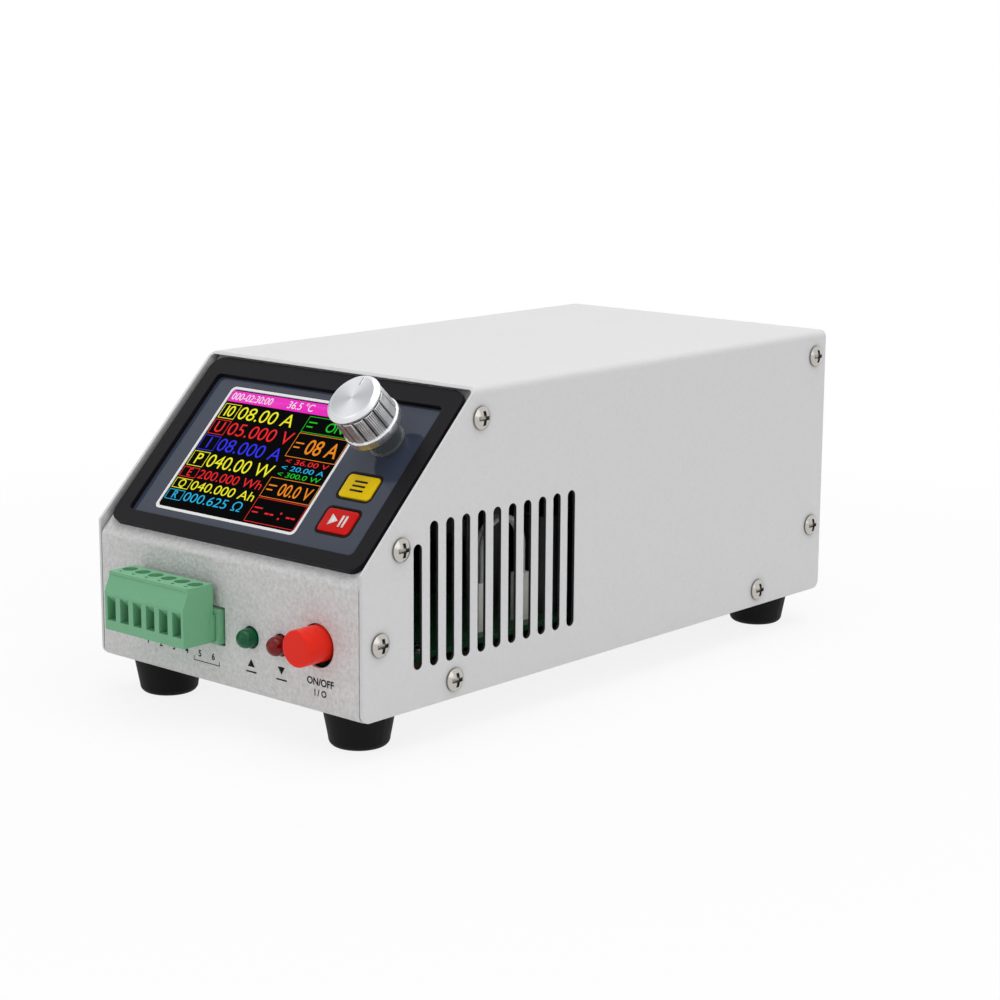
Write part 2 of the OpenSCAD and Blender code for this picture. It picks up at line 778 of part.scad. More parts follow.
// Base plate on the bottom flanges, with side flanges for the cover screws
module base_plate() color("silver") placed() difference() {
    union() {
        block([-panel_w / 2 + bend_r, bend_r + fit_gap, sheet_t],
            [panel_w / 2 - bend_r, case_d - bend_r - fit_gap, base_top]);
        along_y(flange_w + flange_gap, case_d - flange_w - flange_gap)
            translate([0, base_flange_h]) mirror([0, 1]) difference() {
                arch(panel_w, base_flange_h - sheet_t, bend_r);
                translate([0, -over])
                    arch(panel_w - 2 * sheet_t, base_flange_h - base_top + over, bend_r - sheet_t);
            }
    }
    side_holes(base_screws, tap_r);
    floor_holes(foot_points, tap_r);
    floor_holes(post_points, tap_r);
}

// Folded rear panel with the fan's opening and the jack's hole
module rear_panel() color("silver") placed() difference() {
    union() {
        across(panel_w) translate([case_d, 0]) mirror([1, 0]) {
            translate([bend_r, 0]) square([foot_flange - bend_r, sheet_t]);
            translate([bend_r, bend_r]) bend(bend_r, 180, 270);
            translate([0, bend_r]) square([sheet_t, inner_top - bend_r]);
        }
        for (side = [0, 1]) mirror([side, 0, 0]) along_x(panel_w / 2 - sheet_t, panel_w / 2)
            translate([case_d - flange_w, 2 * flange_gap])
                square([flange_w - sheet_t / 2, inner_top - 3 * flange_gap]);
    }
    side_holes(rear_screws, tap_r);
    floor_holes(foot_points, hole_r);
    facing_rear(fan_x, case_d - sheet_t - over, fan_z) cylinder(h = sheet_t + 2 * over, d = fan_bore);
    for (p = fan_points)
        facing_rear(p[0], case_d - sheet_t - over, p[1]) cylinder(h = sheet_t + 2 * over, r = fan_hole_r);
    facing_rear(jack_x, case_d - sheet_t - over, jack_z)
        cylinder(h = sheet_t + 2 * over, r = jack_nose_r + fit_gap);
}

// Pan head screws that hold the cover at both sides
module cover_screws() color("lightgray") placed()
    for (side = [0, 1], p = cover_points)
        mirror([side, 0, 0]) translate([case_w / 2, p[0], p[1]]) rotate([0, 90, 0])
            pan_screw(screw_r, screw_len, screw_head_d / 2, screw_head_h);

// Tapered rubber feet with a recess for their screws
module rubber_feet() color("black") placed()
    for (p = foot_points) translate([p[0], p[1], -foot_h]) difference() {
        rotate_extrude() {
            polygon([[0, foot_edge_r], [foot_base_d / 2, foot_edge_r], [foot_top_d / 2, foot_h],
                [0, foot_h]]);
            square([foot_base_d / 2 - foot_edge_r, foot_h / 2]);
            translate([foot_base_d / 2 - foot_edge_r, foot_edge_r]) intersection() {
                circle(foot_edge_r);
                translate([0, -foot_edge_r]) square([foot_edge_r, foot_edge_r]);
            }
        }
        translate([0, 0, -over]) cylinder(h = foot_h + 2 * over, r = hole_r);
        translate([0, 0, -over])
            cylinder(h = foot_h - foot_seat + over, d = screw_head_d + 4 * screw_gap);
    }

// Screws through the feet into the base plate
module foot_screws() color("lightgray") placed()
    for (p = foot_points) translate([p[0], p[1], -foot_seat]) rotate([180, 0, 0])
        pan_screw(screw_r, foot_seat + base_top + foot_screw_end, screw_head_d / 2, screw_head_h);

// Black bezel: a frame on the slope and a tub with board bosses behind it
module display_bezel() color("dimgray") placed() on_slope() translate([0, bezel_mid, 0]) difference() {
    union() {
        difference() {
            union() {
                translate([0, bezel_brow / 2, 0])
                    round_plate(bezel_w, bezel_h + bezel_brow, bezel_r, sheet_out, bezel_top);
                round_plate(tub_w, tub_h, win_r, tub_bot, win_top);
                for (x = [-1, 1], end = [-1, 1])
                    translate([x * tub_w / 4, end * tub_h / 2, sheet_in - clip_h / 2 - fit_gap])
                        cube([clip_w, 2 * clip_out, clip_h], center = true);
            }
            round_plate(win_w, win_h, win_r, win_bot, bezel_top + over);
            round_plate(well_w, well_h, win_r, tub_bot - over, win_bot + over);
        }
        for (p = boss_points)
            translate([p[0], p[1], board_top]) cylinder(h = win_bot - boss_rest - board_top, r = boss_r);
    }
    for (p = boss_points)
        translate([p[0], p[1], board_top - over]) cylinder(h = small_len, r = small_screw_r + tap_gap);
}

// Dark glossy window with places for the screen, the keys and the knob's bush
module display_window() color("darkslategray") placed() on_slope() difference() {
    translate([0, bezel_mid, 0])
        round_plate(win_w - 2 * win_gap, win_h - 2 * win_gap, win_r - win_gap, win_bot, win_top);
    translate([screen_x, bezel_mid, 0]) round_plate(screen_w + 2 * win_gap, screen_h + 2 * win_gap,
        screen_r + win_gap, win_bot - over, win_top + over);
    for (s = [run_s, menu_s]) translate([column_x, s, 0])
        round_plate(key_w + 2 * key_gap, key_h + 2 * key_gap, key_r + key_gap, win_bot - over,
            win_top + over);
    translate([column_x, knob_s, win_bot - over]) cylinder(h = win_t + 2 * over, r = bush_r + win_gap);
}

// White frame that carries the screen on the display board
module screen_frame() color("white") placed() on_slope() translate([screen_x, bezel_mid, 0]) difference() {
    round_plate(screen_w, screen_h, screen_r, board_top, win_top);
    round_plate(screen_w - 2 * screen_rim, screen_h - 2 * screen_rim, screen_r - screen_rim / 2,
        win_top - lcd_sunk - lcd_t, win_top + over);
    round_plate(screen_w - 8 * screen_rim, screen_h - 8 * screen_rim, screen_r, board_top - over, win_top);
}

// Screen: the glass panel that shows the readings
module lcd_panel() color("black") placed() on_slope() translate([screen_x, bezel_mid, 0])
    round_plate(screen_w - 2 * screen_rim - win_gap, screen_h - 2 * screen_rim - win_gap,
        screen_r - screen_rim / 2, win_top - lcd_sunk - lcd_t, win_top - lcd_sunk);

// Display board below the screen, the keys and the encoder
module display_pcb() color("darkgreen") placed() on_slope() translate([0, bezel_mid, 0]) difference() {
    round_plate(well_w - 2 * win_gap, well_h - 2 * win_gap, win_r, board_bot, board_top);
    for (p = boss_points)
        translate([p[0], p[1], board_bot - over])
            cylinder(h = board_t + 2 * over, r = small_screw_r + screw_gap);
}

// Screws that hold the display board to the bezel
module display_screws() color("lightgray") placed() on_slope()
    for (p = boss_points) translate([p[0], bezel_mid + p[1], board_bot]) rotate([180, 0, 0])
        pan_screw(small_screw_r, small_len, small_head_r, small_head_h);

// Bodies of the two key switches
module tact_switches() color("dimgray") placed()
    for (s = [run_s, menu_s]) at_column(s) difference() {
        round_plate(tact_w, tact_w, tact_w / 12, board_top, tact_top);
        translate([0, 0, board_top + tact_floor]) cylinder(h = tact_h, r = plunger_r + plunger_gap);
    }

// A key cap with a flange below the window and a stem on its switch
module key_cap() {
    round_plate(key_w, key_h, key_r, key_bot, win_top + key_out);
    round_plate(key_w + 2 * key_flange, key_h + 2 * key_flange, key_r, key_bot, key_bot + key_flange_t);
}

// The plunger of a key switch, from its bore up to the key
module key_plunger() {
    translate([0, 0, plunger_low]) cylinder(h = plunger_top - plunger_low, r = plunger_r);
    translate([0, 0, plunger_top]) cylinder(h = key_rest, r = plunger_r / 2);
}

// Yellow key, red key and the plungers below them
module menu_key() color("gold") placed() at_column(menu_s) key_cap();
module menu_plunger() color("ivory") placed() at_column(menu_s) key_plunger();
module run_key() color("firebrick") placed() at_column(run_s) key_cap();
module run_plunger() color("ivory") placed() at_column(run_s) key_plunger();

// Rotary encoder: a square body with a cavity for its rotor, and a bush for the shaft
module encoder_body() color("gray") placed() at_column(knob_s) difference() {
    union() {
        round_plate(encoder_w, encoder_w, encoder_w / 16, board_top, encoder_top);
        translate([0, 0, board_top]) cylinder(h = bush_top - board_top, r = bush_r);
    }
    translate([0, 0, board_top + cavity_floor])
        cylinder(h = encoder_h - 2 * cavity_floor, r = cavity_r);
    translate([0, 0, board_top + cavity_floor])
        cylinder(h = bush_top - board_top, r = shaft_r + shaft_gap);
}

// Collar nut with its washer on the encoder's bush
module collar_nut() color("slategray") placed() at_column(knob_s) difference() {
    union() {
        translate([0, 0, win_top]) cylinder(h = washer_t, d = washer_d);
        translate([0, 0, win_top]) round_disc(collar_d / 2, collar_top - win_top, washer_t);
    }
    translate([0, 0, win_top - over]) cylinder(h = bush_out + 2 * over, r = bush_r + collar_gap);
}

// Plate that the shaft presses on the encoder's push contact
module push_plate() color("goldenrod") placed() at_column(knob_s)
    translate([0, 0, plate_low]) cylinder(h = plate_t, r = plate_r);

// Shaft with the encoder's rotor and a flat for the knob
module encoder_shaft() color("silver") placed() at_column(knob_s) difference() {
    union() {
        translate([0, 0, shaft_low]) cylinder(h = shaft_top - shaft_low, r = shaft_r);
        translate([0, 0, shaft_low + rotor_t]) cylinder(h = rotor_t, r = rotor_r);
    }
    block([shaft_r / 2, -shaft_r, knob_low + over], [shaft_r + over, shaft_r, shaft_top + over]);
}

// Turned aluminium knob: skirt, grooved grip, rim and a mark on its top
module knob() color("lightgray") placed() at_column(knob_s) {
    r = knob_d / 2;
    skirt = 0.23 * knob_h;
    rim = 0.15 * knob_h;
    lip = 0.4;
    groove = 0.9;
    bore = shaft_r + shaft_gap;
    flat = 0.8 * shaft_r;
    difference() {
        rotate_extrude() polygon([[bore, knob_low], [r - lip, knob_low], [r, knob_low + lip],
            [r, knob_low + skirt - lip], [r - lip, knob_low + skirt], [r - 1.5 * lip, knob_top - rim - lip],
            [r - 2.5 * lip, knob_top - rim], [r - lip, knob_top - rim + lip],
            [r - lip, knob_top - 2 * lip], [r - 3 * lip, knob_top], [0, knob_top], [0, shaft_top],
            [bore, shaft_top]]);
        for (i = [0 : knob_grooves - 1])
            rotate(i * 360 / knob_grooves)
                translate([r - lip, 0, knob_low + skirt - lip / 2]) rotate(45)
                    translate([-groove / 2, -groove / 2, 0]) cube([groove, groove, knob_h - skirt - rim]);
        block([-groove / 4, r / 2, knob_top - lip], [groove / 4, r, knob_top + over]);
    }
    block([shaft_r / 2 + shaft_gap, -flat, knob_low + over + shaft_gap],
        [shaft_r + over, flat, shaft_top + over]);
}

// Main board across the case's floor
module main_pcb() color("darkgreen") placed() difference() {
    block([-board_w / 2, board_front, board_low], [board_w / 2, board_rear, board_z]);
    for (p = post_points)
        translate([p[0], p[1], board_low - over]) cylinder(h = board_t + 2 * over, r = hole_r);
}

// Hexagonal standoffs fixed in the base plate
module pcb_posts() color("goldenrod") placed()
    for (p = post_points) translate([p[0], p[1], 0]) difference() {
        union() {
            translate([0, 0, base_top]) cylinder(h = board_low - base_top, r = post_r, $fn = post_sides);
            translate([0, 0, sheet_t]) cylinder(h = base_top, r = screw_r);
        }
        translate([0, 0, base_top + over]) cylinder(h = board_low, r = small_screw_r + tap_gap);
    }

// Screws that hold the main board on its standoffs
module pcb_screws() color("lightgray") placed()
    for (p = post_points) translate([p[0], p[1], board_z])
        pan_screw(small_screw_r, small_len + board_t, screw_head_d / 2, screw_head_h);

// Latching push switch on the main board
module power_switch() color("dimgray") placed() difference() {
    block([button_x - switch_w / 2, switch_y, board_z],
        [button_x + switch_w / 2, switch_y + switch_d, button_z + switch_w / 2]);
    block([button_x - stem_w / 2 - stem_gap, switch_y - over, button_z - stem_w / 2 - stem_gap],
        [button_x + stem_w / 2 + stem_gap, stem_rear + button_travel + over,
            button_z + stem_w / 2 + stem_gap]);
}

// Square stem between the switch and its button
module switch_stem() color("ivory") placed()
    block([button_x - stem_w / 2, 0, button_z - stem_w / 2],
        [button_x + stem_w / 2, stem_rear, button_z + stem_w / 2]);

// Round red button with a socket for the stem
module power_button() color("orangered") placed() difference() {
    facing_front(button_x, button_in, button_z) round_disc(button_d / 2, button_in + button_out, button_edge);
    block([button_x - stem_w / 2 - tap_gap, 0, button_z - stem_w / 2 - tap_gap],
        [button_x + stem_w / 2 + tap_gap, button_in + over, button_z + stem_w / 2 + tap_gap]);
}

// A lamp with a round dome, a flange and two leads bent down to the main board
module led(x) {
    facing_front(x, 0, led_z) {
        translate([0, 0, led_out - led_r]) sphere(led_r);
        translate([0, 0, -led_flange_y]) cylinder(h = led_flange_y + led_out - led_r, r = led_r);
        translate([0, 0, -led_flange_y - led_flange_t]) cylinder(h = led_flange_t, r = led_flange_r);
    }
    lead_y = led_flange_y + led_flange_t;
    for (side = [-1, 1]) translate([x + side * lead_x - lead_w / 2, lead_y, 0]) {
        translate([0, -led_flange_t / 2, led_z - lead_w / 2])
            cube([lead_w, led_flange_t / 2 + lead_run, lead_w]);
        translate([0, lead_run - lead_w, board_z]) cube([lead_w, lead_w, led_lift]);
    }
}

// Green and red lamps, and the blocks that hold them on the board
module green_led() color("seagreen") placed() led(green_x);
module red_led() color("maroon") placed() led(red_x);
module led_holders() color("black") placed() {
    holder_w = 2 * led_flange_r;
    lead_y = led_flange_y + led_flange_t;
    for (x = [green_x, red_x]) difference() {
        block([x - holder_w / 2, lead_y, board_z],
            [x + holder_w / 2, lead_y + holder_d, led_z + led_flange_r]);
        block([x - lead_x - lead_w, lead_y - over, board_z - over],
            [x + lead_x + lead_w, lead_y + holder_d - holder_t, led_z + lead_w]);
    }
}

// Green header on the board's front edge, open to the front
module terminal_header() color("mediumseagreen") placed() difference() {
    block([term_x - header_w / 2, -header_out, board_z],
        [term_x + header_w / 2, header_d - header_out, board_z + header_h]);
    block([term_x - header_w / 2 + header_t, -header_out - over, board_z + header_t],
        [term_x + header_w / 2 - header_t, tongue_d - header_out + 2 * plug_gap,
            board_z + header_h - header_t]);
    for (i = [0 : term_count - 1])
        block([term_place(i) - pin_w / 2 - tap_gap, 0, pin_z - pin_w / 2 - tap_gap],
            [term_place(i) + pin_w / 2 + tap_gap, header_d, pin_z + pin_w / 2 + tap_gap]);
}

// Bent contact pins of the header
module header_pins() color("goldenrod") placed()
    for (i = [0 : term_count - 1]) translate([term_place(i) - pin_w / 2, 0, 0]) {
        block([0, 0, pin_z - pin_w / 2], [pin_w, header_d - header_out + 2 * pin_w, pin_z + pin_w / 2]);
        block([0, header_d - header_out + pin_w, board_z], [pin_w, header_d - header_out + 2 * pin_w, pin_z]);
    }

// Side outline of the plug: an upright entry face, a sloped brow and a flat top
module plug_outline() {
    polygon([[plug_rear, plug_low], [plug_face + plug_bevel, plug_low],
        [plug_face + plug_bevel, ridge_z - plug_bevel], [plug_face, ridge_z],
        [plug_lip + plug_bevel, plug_top - plug_lip_h], [plug_lip, plug_top - plug_lip_h],
        [plug_lip, plug_top], [plug_rear, plug_top]]);
}

// One terminal's spaces in the plug: entry, cell, screw well, contact slot and probe hole
module terminal_space(x) {
    translate([x, 0, 0]) {
        along_x(-entry_w / 2, entry_w / 2) polygon([[plug_face - over, entry_z], [cell_y, entry_z],
            [cell_y, entry_z + entry_neck], [plug_face + entry_taper, entry_z + entry_neck],
            [plug_face + plug_bevel, entry_z + entry_h], [plug_face - over, entry_z + entry_h]]);
        block([-cell_w / 2, cell_y - cell_d / 2, cell_low], [cell_w / 2, cell_y + cell_d / 2, cell_top]);
        translate([0, cell_y, cell_top - over])
            cylinder(h = plug_top, r = term_screw_d / 2 + thread_gap);
        translate([0, cell_y, head_seat]) cylinder(h = plug_top, r = term_head_d / 2 + well_gap);
        block([-contact_w / 2 - contact_gap, cell_y, pin_z - contact_w / 2 - contact_gap],
            [contact_w / 2 + contact_gap, header_d, pin_z + contact_w / 2 + contact_gap]);
        block([-contact_w / 2 - contact_gap, cell_y, pin_z],
            [contact_w / 2 + contact_gap, plug_rear - plug_gap, bar_top + contact_gap]);
        block([-probe_w / 2, plug_lip + probe_in, plug_top - probe_deep],
            [probe_w / 2, plug_lip + probe_in + probe_l, plug_top + over]);
    }
}

// Green plug that pushes into the header
module terminal_plug() color("mediumseagreen") placed() difference() {
    union() {
        along_x(term_x - term_w / 2, term_x + term_w / 2) plug_outline();
        block([term_x - header_w / 2 + header_t + plug_gap, plug_rear - over, board_z + header_t + plug_gap],
            [term_x + header_w / 2 - header_t - plug_gap, tongue_d - header_out,
                board_z + header_h - header_t - plug_gap]);
    }
    for (i = [0 : term_count - 1]) terminal_space(term_place(i));
}

// Contacts of the plug: a socket on each pin and a bar through each clamp
module plug_contacts() color("tan") placed()
    for (i = [0 : term_count - 1]) translate([term_place(i), 0, 0]) {
        link_y = cell_y + cell_d / 2 - contact_gap;
        block([-contact_w / 2, cell_y - cell_d / 2 + clamp_room, bar_low],
            [contact_w / 2, link_y + bar_t, bar_top]);
        block([-contact_w / 2, link_y, pin_z], [contact_w / 2, link_y + bar_t, bar_top]);
        difference() {
            block([-contact_w / 2, link_y, pin_z - contact_w / 2],
                [contact_w / 2, tongue_d - header_out - plug_gap, pin_z + contact_w / 2]);
            block([-pin_w / 2 - tap_gap, -over, pin_z - pin_w / 2 - tap_gap],
                [pin_w / 2 + tap_gap, header_d, pin_z + pin_w / 2 + tap_gap]);
        }
    }

// A slotted terminal screw whose tip stands on its contact bar
module terminal_screw(n) color("silver") placed() translate([term_place(n - 1), cell_y, 0]) {
    head_h = 1.8;
    slot_w = 0.6;
    difference() {
        union() {
            translate([0, 0, head_seat]) cylinder(h = head_h, d = term_head_d);
            translate([0, 0, bar_top + clamp_gap]) cylinder(h = head_seat - bar_top, d = term_screw_d);
        }
        translate([0, 0, head_seat + head_h]) cube([term_head_d + over, slot_w, head_h], center = true);
    }
}

// A square wire clamp that rises on its screw
module wire_clamp(n) color("lightgray") placed() translate([term_place(n - 1), cell_y, clamp_low]) {
    w = cell_w - 2 * clamp_gap;
    d = cell_d - 2 * clamp_gap - clamp_room;
    wall = 0.55;
    difference() {
        block([-w / 2, -d / 2, 0], [w / 2, d / 2, clamp_h]);
        block([-w / 2 + wall, -d, clamp_t], [w / 2 - wall, d, clamp_h - clamp_t]);
        translate([0, 0, clamp_t]) cylinder(h = clamp_h, r = term_screw_d / 2 + thread_gap);
    }
}

// Finned black anodised heatsink above the main board
module heatsink() color("black") placed() {
    block([-sink_w / 2, sink_y, sink_low], [sink_w / 2, sink_y + sink_l, sink_low + sink_base]);
    for (i = [0 : fin_count - 1]) {
        x = -sink_w / 2 + i * (sink_w - fin_t) / (fin_count - 1);
        block([x, sink_y, sink_low], [x + fin_t, sink_y + sink_l, sink_low + sink_h]);
    }
}

// Round posts between the main board and the heatsink
module sink_posts() color("black") placed()
    for (p = sink_points) translate([p[0], p[1], board_z]) cylinder(h = sink_lift, r = sink_post_r);

// Power transistors under the heatsink, their leads bent down to the board
module mosfets() color("black") placed()
    for (x = [-1, 1]) translate([x * sink_w / 5, sink_y + sink_l / 4, 0]) {
        block([-mosfet_w / 2, 0, sink_low - mosfet_t], [mosfet_w / 2, mosfet_l, sink_low]);
        for (lead = [-1, 0, 1]) translate([lead * mosfet_w / 3 - pin_w / 2, -2 * pin_w, 0]) {
            lead_top = sink_low - mosfet_t / 2 + pin_w;
            block([0, 0, lead_top - pin_w], [pin_w, 2 * pin_w + over, lead_top]);
            block([0, 0, board_z], [pin_w, pin_w, lead_top]);
        }
    }

// Upright capacitors on the main board
module capacitors() color("midnightblue") placed()
    for (p = cap_points) translate([p[0], p[1], board_z]) round_disc(cap_d / 2, cap_h, cap_edge);

// A cable socket of a width and depth, standing at the origin
module socket(w, d, h) { translate([-w / 2, -d / 2, 0]) cube([w, d, h]); }

// White sockets for the cables, on the main board and behind the display board
module wire_sockets() color("ivory") placed() {
    wide = ribbon_w + 2 * socket_rim;
    on_slope() translate([ribbon_x, ribbon_s, board_bot - low_socket_h]) socket(wide, socket_d, low_socket_h);
    translate([ribbon_x, ribbon_y, board_z]) socket(wide, socket_d, socket_h);
    for (y = [sensor_y, sensor_y + link_run])
        translate([sensor_x, y, board_z]) socket(sensor_d, sensor_w, sensor_h);
    translate([fan_socket_x, fan_socket_y, board_z]) socket(socket_d, fan_socket_w, socket_h);
}

// Flat cable from the display board's socket to the main board's socket, with mitred folds
function fold(i) = let(n = len(ribbon_path) - 1, a = ribbon_side(max(i - 1, 0)),
    b = ribbon_side(min(i, n - 1))) (a + b) / (1 + a * b);
function ribbon_side(i) = let(step = ribbon_path[i + 1] - ribbon_path[i]) [-step[1], step[0]] / norm(step);
module flat_cable()
    along_x(ribbon_x - ribbon_w / 2, ribbon_x + ribbon_w / 2) polygon(concat(
        [for (i = [0 : len(ribbon_path) - 1]) ribbon_path[i] + ribbon_t / 2 * fold(i)],
        [for (i = [len(ribbon_path) - 1 : -1 : 0]) ribbon_path[i] - ribbon_t / 2 * fold(i)]));

// One round wire between the tall sockets: up, over in a half turn and down again
module wire_link(x) {
    low = board_z + sensor_h;
    for (y = [sensor_y, sensor_y + link_run]) translate([x, y, low]) cylinder(h = link_up, d = lead_d);
    translate([x, sensor_y + link_run / 2, low + link_up]) rotate([90, 0, 90])
        rotate_extrude(angle = 180) translate([link_run / 2, 0]) circle(d = lead_d);
}

// The cables on the main board: the display's flat cable and two wire links
module inner_cables() color("gray") placed() {
    flat_cable();
    for (side = [-1, 1]) wire_link(sensor_x + side * link_gap);
}

// Supply jack on the board's rear edge, open to the rear
module supply_jack() color("black") placed() {
    rear = case_d - sheet_t - fit_gap;
    difference() {
        union() {
            block([jack_x - jack_w / 2, rear - jack_l, board_z],
                [jack_x + jack_w / 2, rear, jack_z + jack_w / 2]);
            facing_rear(jack_x, rear - over, jack_z)
                cylinder(h = case_d + jack_nose - rear + over, r = jack_nose_r);
        }
        facing_rear(jack_x, rear - jack_deep, jack_z) cylinder(h = jack_deep + case_d, d = jack_bore);
    }
    facing_rear(jack_x, rear - jack_deep - over, jack_z) cylinder(h = jack_pin_l, r = pin_w);
}

// Fan frame: a square housing with a round air way, a hub plate and three arms
module fan_frame() color("black") placed() {
    difference() {
        facing_rear(fan_x, fan_front, fan_z) round_plate(fan_w, fan_w, fan_corner_r, 0, fan_t);
        facing_rear(fan_x, fan_front - over, fan_z) cylinder(h = fan_t + 2 * over, d = fan_bore);
        for (p = fan_points)
            facing_rear(p[0], fan_front - over, p[1]) cylinder(h = fan_t + 2 * over, r = fan_hole_r);
    }
    facing_rear(fan_x, fan_front, fan_z) difference() {
        union() {
            cylinder(h = hub_plate, r = hub_r);
            for (i = [0 : arm_count - 1]) rotate((i + 0.375) * 360 / arm_count)
                translate([hub_r - over, -hub_plate / 2, 0])
                    cube([fan_bore / 2 - hub_r + 2 * over, hub_plate, hub_plate]);
        }
        translate([0, 0, -over]) cylinder(h = hub_plate + 2 * over, r = axle_r + axle_gap);
    }
}

// Fan rotor: a hub with pitched blades and the axle that runs in the hub plate
module fan_rotor() color("black") placed() facing_rear(fan_x, fan_front, fan_z) {
    low = hub_plate + rotor_gap;
    high = fan_t - rotor_in;
    tip = fan_bore / 2 - tip_gap;
    translate([0, 0, low]) round_disc(hub_r, high - low, hub_edge);
    cylinder(h = low + over, r = axle_r);
    for (i = [0 : blade_count - 1]) intersection() {
        translate([0, 0, low + over]) difference() {
            cylinder(h = high - low - 2 * over, r = tip);
            translate([0, 0, -over]) cylinder(h = fan_t, r = hub_r - over);
        }
        rotate(i * 360 / blade_count) translate([(hub_r + tip) / 2, 0, (low + high) / 2])
            rotate([blade_deg, 0, 0]) cube([tip - hub_r + 2 * over, 2 * fan_t, blade_t], center = true);
    }
}

// Wire guard over the fan: round wires on four arms with eyes for the screws
module fan_guard() color("lightgray") placed() facing_rear(fan_x, case_d, fan_z) {
    r = guard_wire / 2;
    eye = fan_hole_r + r;
    corner = fan_pitch / sqrt(2);
    for (i = [1 : guard_rings]) rotate_extrude() translate([i * guard_step, ring_rise]) circle(r);
    for (turn = [45 : 90 : 315]) rotate(turn) {
        translate([corner, 0, r]) rotate_extrude() translate([eye, 0]) circle(r);
        translate([guard_step - r, 0, r]) rotate([0, 90, 0])
            cylinder(h = corner - eye - guard_step + r, r = r);
    }
}

// Screws through the guard and the rear panel into the fan
module fan_screws() color("lightgray") placed()
    for (p = fan_points)
        facing_rear(p[0], guard_rear, p[1]) pan_screw(fan_screw_r, fan_screw_len, fan_head_r, fan_head_h);

// One round fan lead: level from the fan, then bent down to its socket
module fan_lead(x) {
    bend_y = fan_socket_y + lead_bend_r;
    facing_rear(x, bend_y, lead_z) cylinder(h = fan_front - bend_y, d = lead_d);
    translate([x, bend_y, lead_z - lead_bend_r]) rotate([90, 0, 90]) rotate(90)
        rotate_extrude(angle = 90) translate([lead_bend_r, 0]) circle(d = lead_d);
    translate([x, fan_socket_y, board_z + socket_h])
        cylinder(h = lead_z - lead_bend_r - board_z - socket_h, d = lead_d);
}

// The fan's two leads beside the heatsink
module fan_leads() color("firebrick") placed() for (side = [-1, 1]) fan_lead(fan_socket_x + side * lead_gap);

top_cover();
front_panel();
base_plate();
rear_panel();
cover_screws();
rubber_feet();
foot_screws();
display_bezel();
display_window();
screen_frame();
lcd_panel();
display_pcb();
display_screws();
tact_switches();
menu_key();
menu_plunger();
run_key();
run_plunger();
encoder_body();
collar_nut();
push_plate();
encoder_shaft();
knob();
main_pcb();
pcb_posts();
pcb_screws();
power_switch();
switch_stem();
power_button();
green_led();
red_led();
led_holders();
terminal_header();
header_pins();
terminal_plug();
plug_contacts();
terminal_screw(1);  // terminal_screw_1
terminal_screw(2);  // terminal_screw_2
terminal_screw(3);  // terminal_screw_3
terminal_screw(4);  // terminal_screw_4
terminal_screw(5);  // terminal_screw_5
terminal_screw(6);  // terminal_screw_6
wire_clamp(1);  // wire_clamp_1
wire_clamp(2);  // wire_clamp_2
wire_clamp(3);  // wire_clamp_3
wire_clamp(4);  // wire_clamp_4
wire_clamp(5);  // wire_clamp_5
wire_clamp(6);  // wire_clamp_6
heatsink();
sink_posts();
mosfets();
capacitors();
wire_sockets();
inner_cables();
fan_leads();
supply_jack();
fan_frame();
fan_rotor();
fan_guard();
fan_screws();
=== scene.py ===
"""Looks of a bench DC electronic load: finishes for its solids, and the knob, keys, lamps' cores,
printed marks and lit screen as new pieces. Metres; the sizes below are millimetres times MM."""

import json
import math

import bpy
import numpy as np
from mathutils import Matrix, Vector


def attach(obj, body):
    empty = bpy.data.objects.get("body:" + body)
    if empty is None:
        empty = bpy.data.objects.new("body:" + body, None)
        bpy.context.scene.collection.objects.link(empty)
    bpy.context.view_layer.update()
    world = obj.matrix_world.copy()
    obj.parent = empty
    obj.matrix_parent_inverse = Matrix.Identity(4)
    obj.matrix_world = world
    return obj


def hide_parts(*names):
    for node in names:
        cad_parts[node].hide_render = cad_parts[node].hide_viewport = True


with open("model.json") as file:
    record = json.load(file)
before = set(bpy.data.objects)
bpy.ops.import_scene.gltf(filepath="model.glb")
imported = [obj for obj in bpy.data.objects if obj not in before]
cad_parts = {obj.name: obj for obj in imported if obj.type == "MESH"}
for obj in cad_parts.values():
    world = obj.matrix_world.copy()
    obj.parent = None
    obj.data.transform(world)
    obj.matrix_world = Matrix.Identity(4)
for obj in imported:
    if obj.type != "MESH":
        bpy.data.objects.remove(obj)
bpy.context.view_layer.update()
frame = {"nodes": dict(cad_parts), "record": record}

MM = 0.001

# Sizes and places on the object, in millimetres. The case stands CASE_Z over the table on its feet.
# The front face is upright at FRONT_Y. The display's slope leans back from it at SLOPE_Z.
FRONT_Y = -93.25
CASE_Z, CASE_H = 10.0, 78.0
SLOPE_LEN, SLOPE_DEG = 58.0, 45
SLOPE_Z = CASE_Z + CASE_H - SLOPE_LEN * math.sin(math.radians(SLOPE_DEG))
# Middles of knob and keys, across the slope (X) and up along it (S); the keys' size, corner and gap.
COLUMN_X = 29.8
RUN_S, MENU_S, KNOB_S = 14.3, 24.9, 39.3
KEY_W, KEY_H, KEY_R, KEY_GAP = 10.8, 6.9, 1.1, 0.35
CORNER_POINTS = 10
# The screen's middle and size on the slope.
SCREEN_X, SCREEN_S = -8.05, 28.2
SCREEN_W, SCREEN_H = 51.15, 38.95
# Heights off the slope of the window's, the screen's and the keys' faces, and the thickness of ink.
WINDOW_TOP, SCREEN_TOP, KEY_TOP = -1.7, -1.9, -1.3
INK = 0.03
# Places across the front face of terminals, lamps and button, and the lamps' height over the case's foot.
TERMINAL_X, TERMINAL_PITCH = -17.2, 5.08
TERMINALS = TERMINAL_X + (np.arange(6) - 2.5) * TERMINAL_PITCH
LAMPS = {"green": 9.8, "red": 20.8}
LAMP_Z = 15.05
BUTTON_X = 34.6
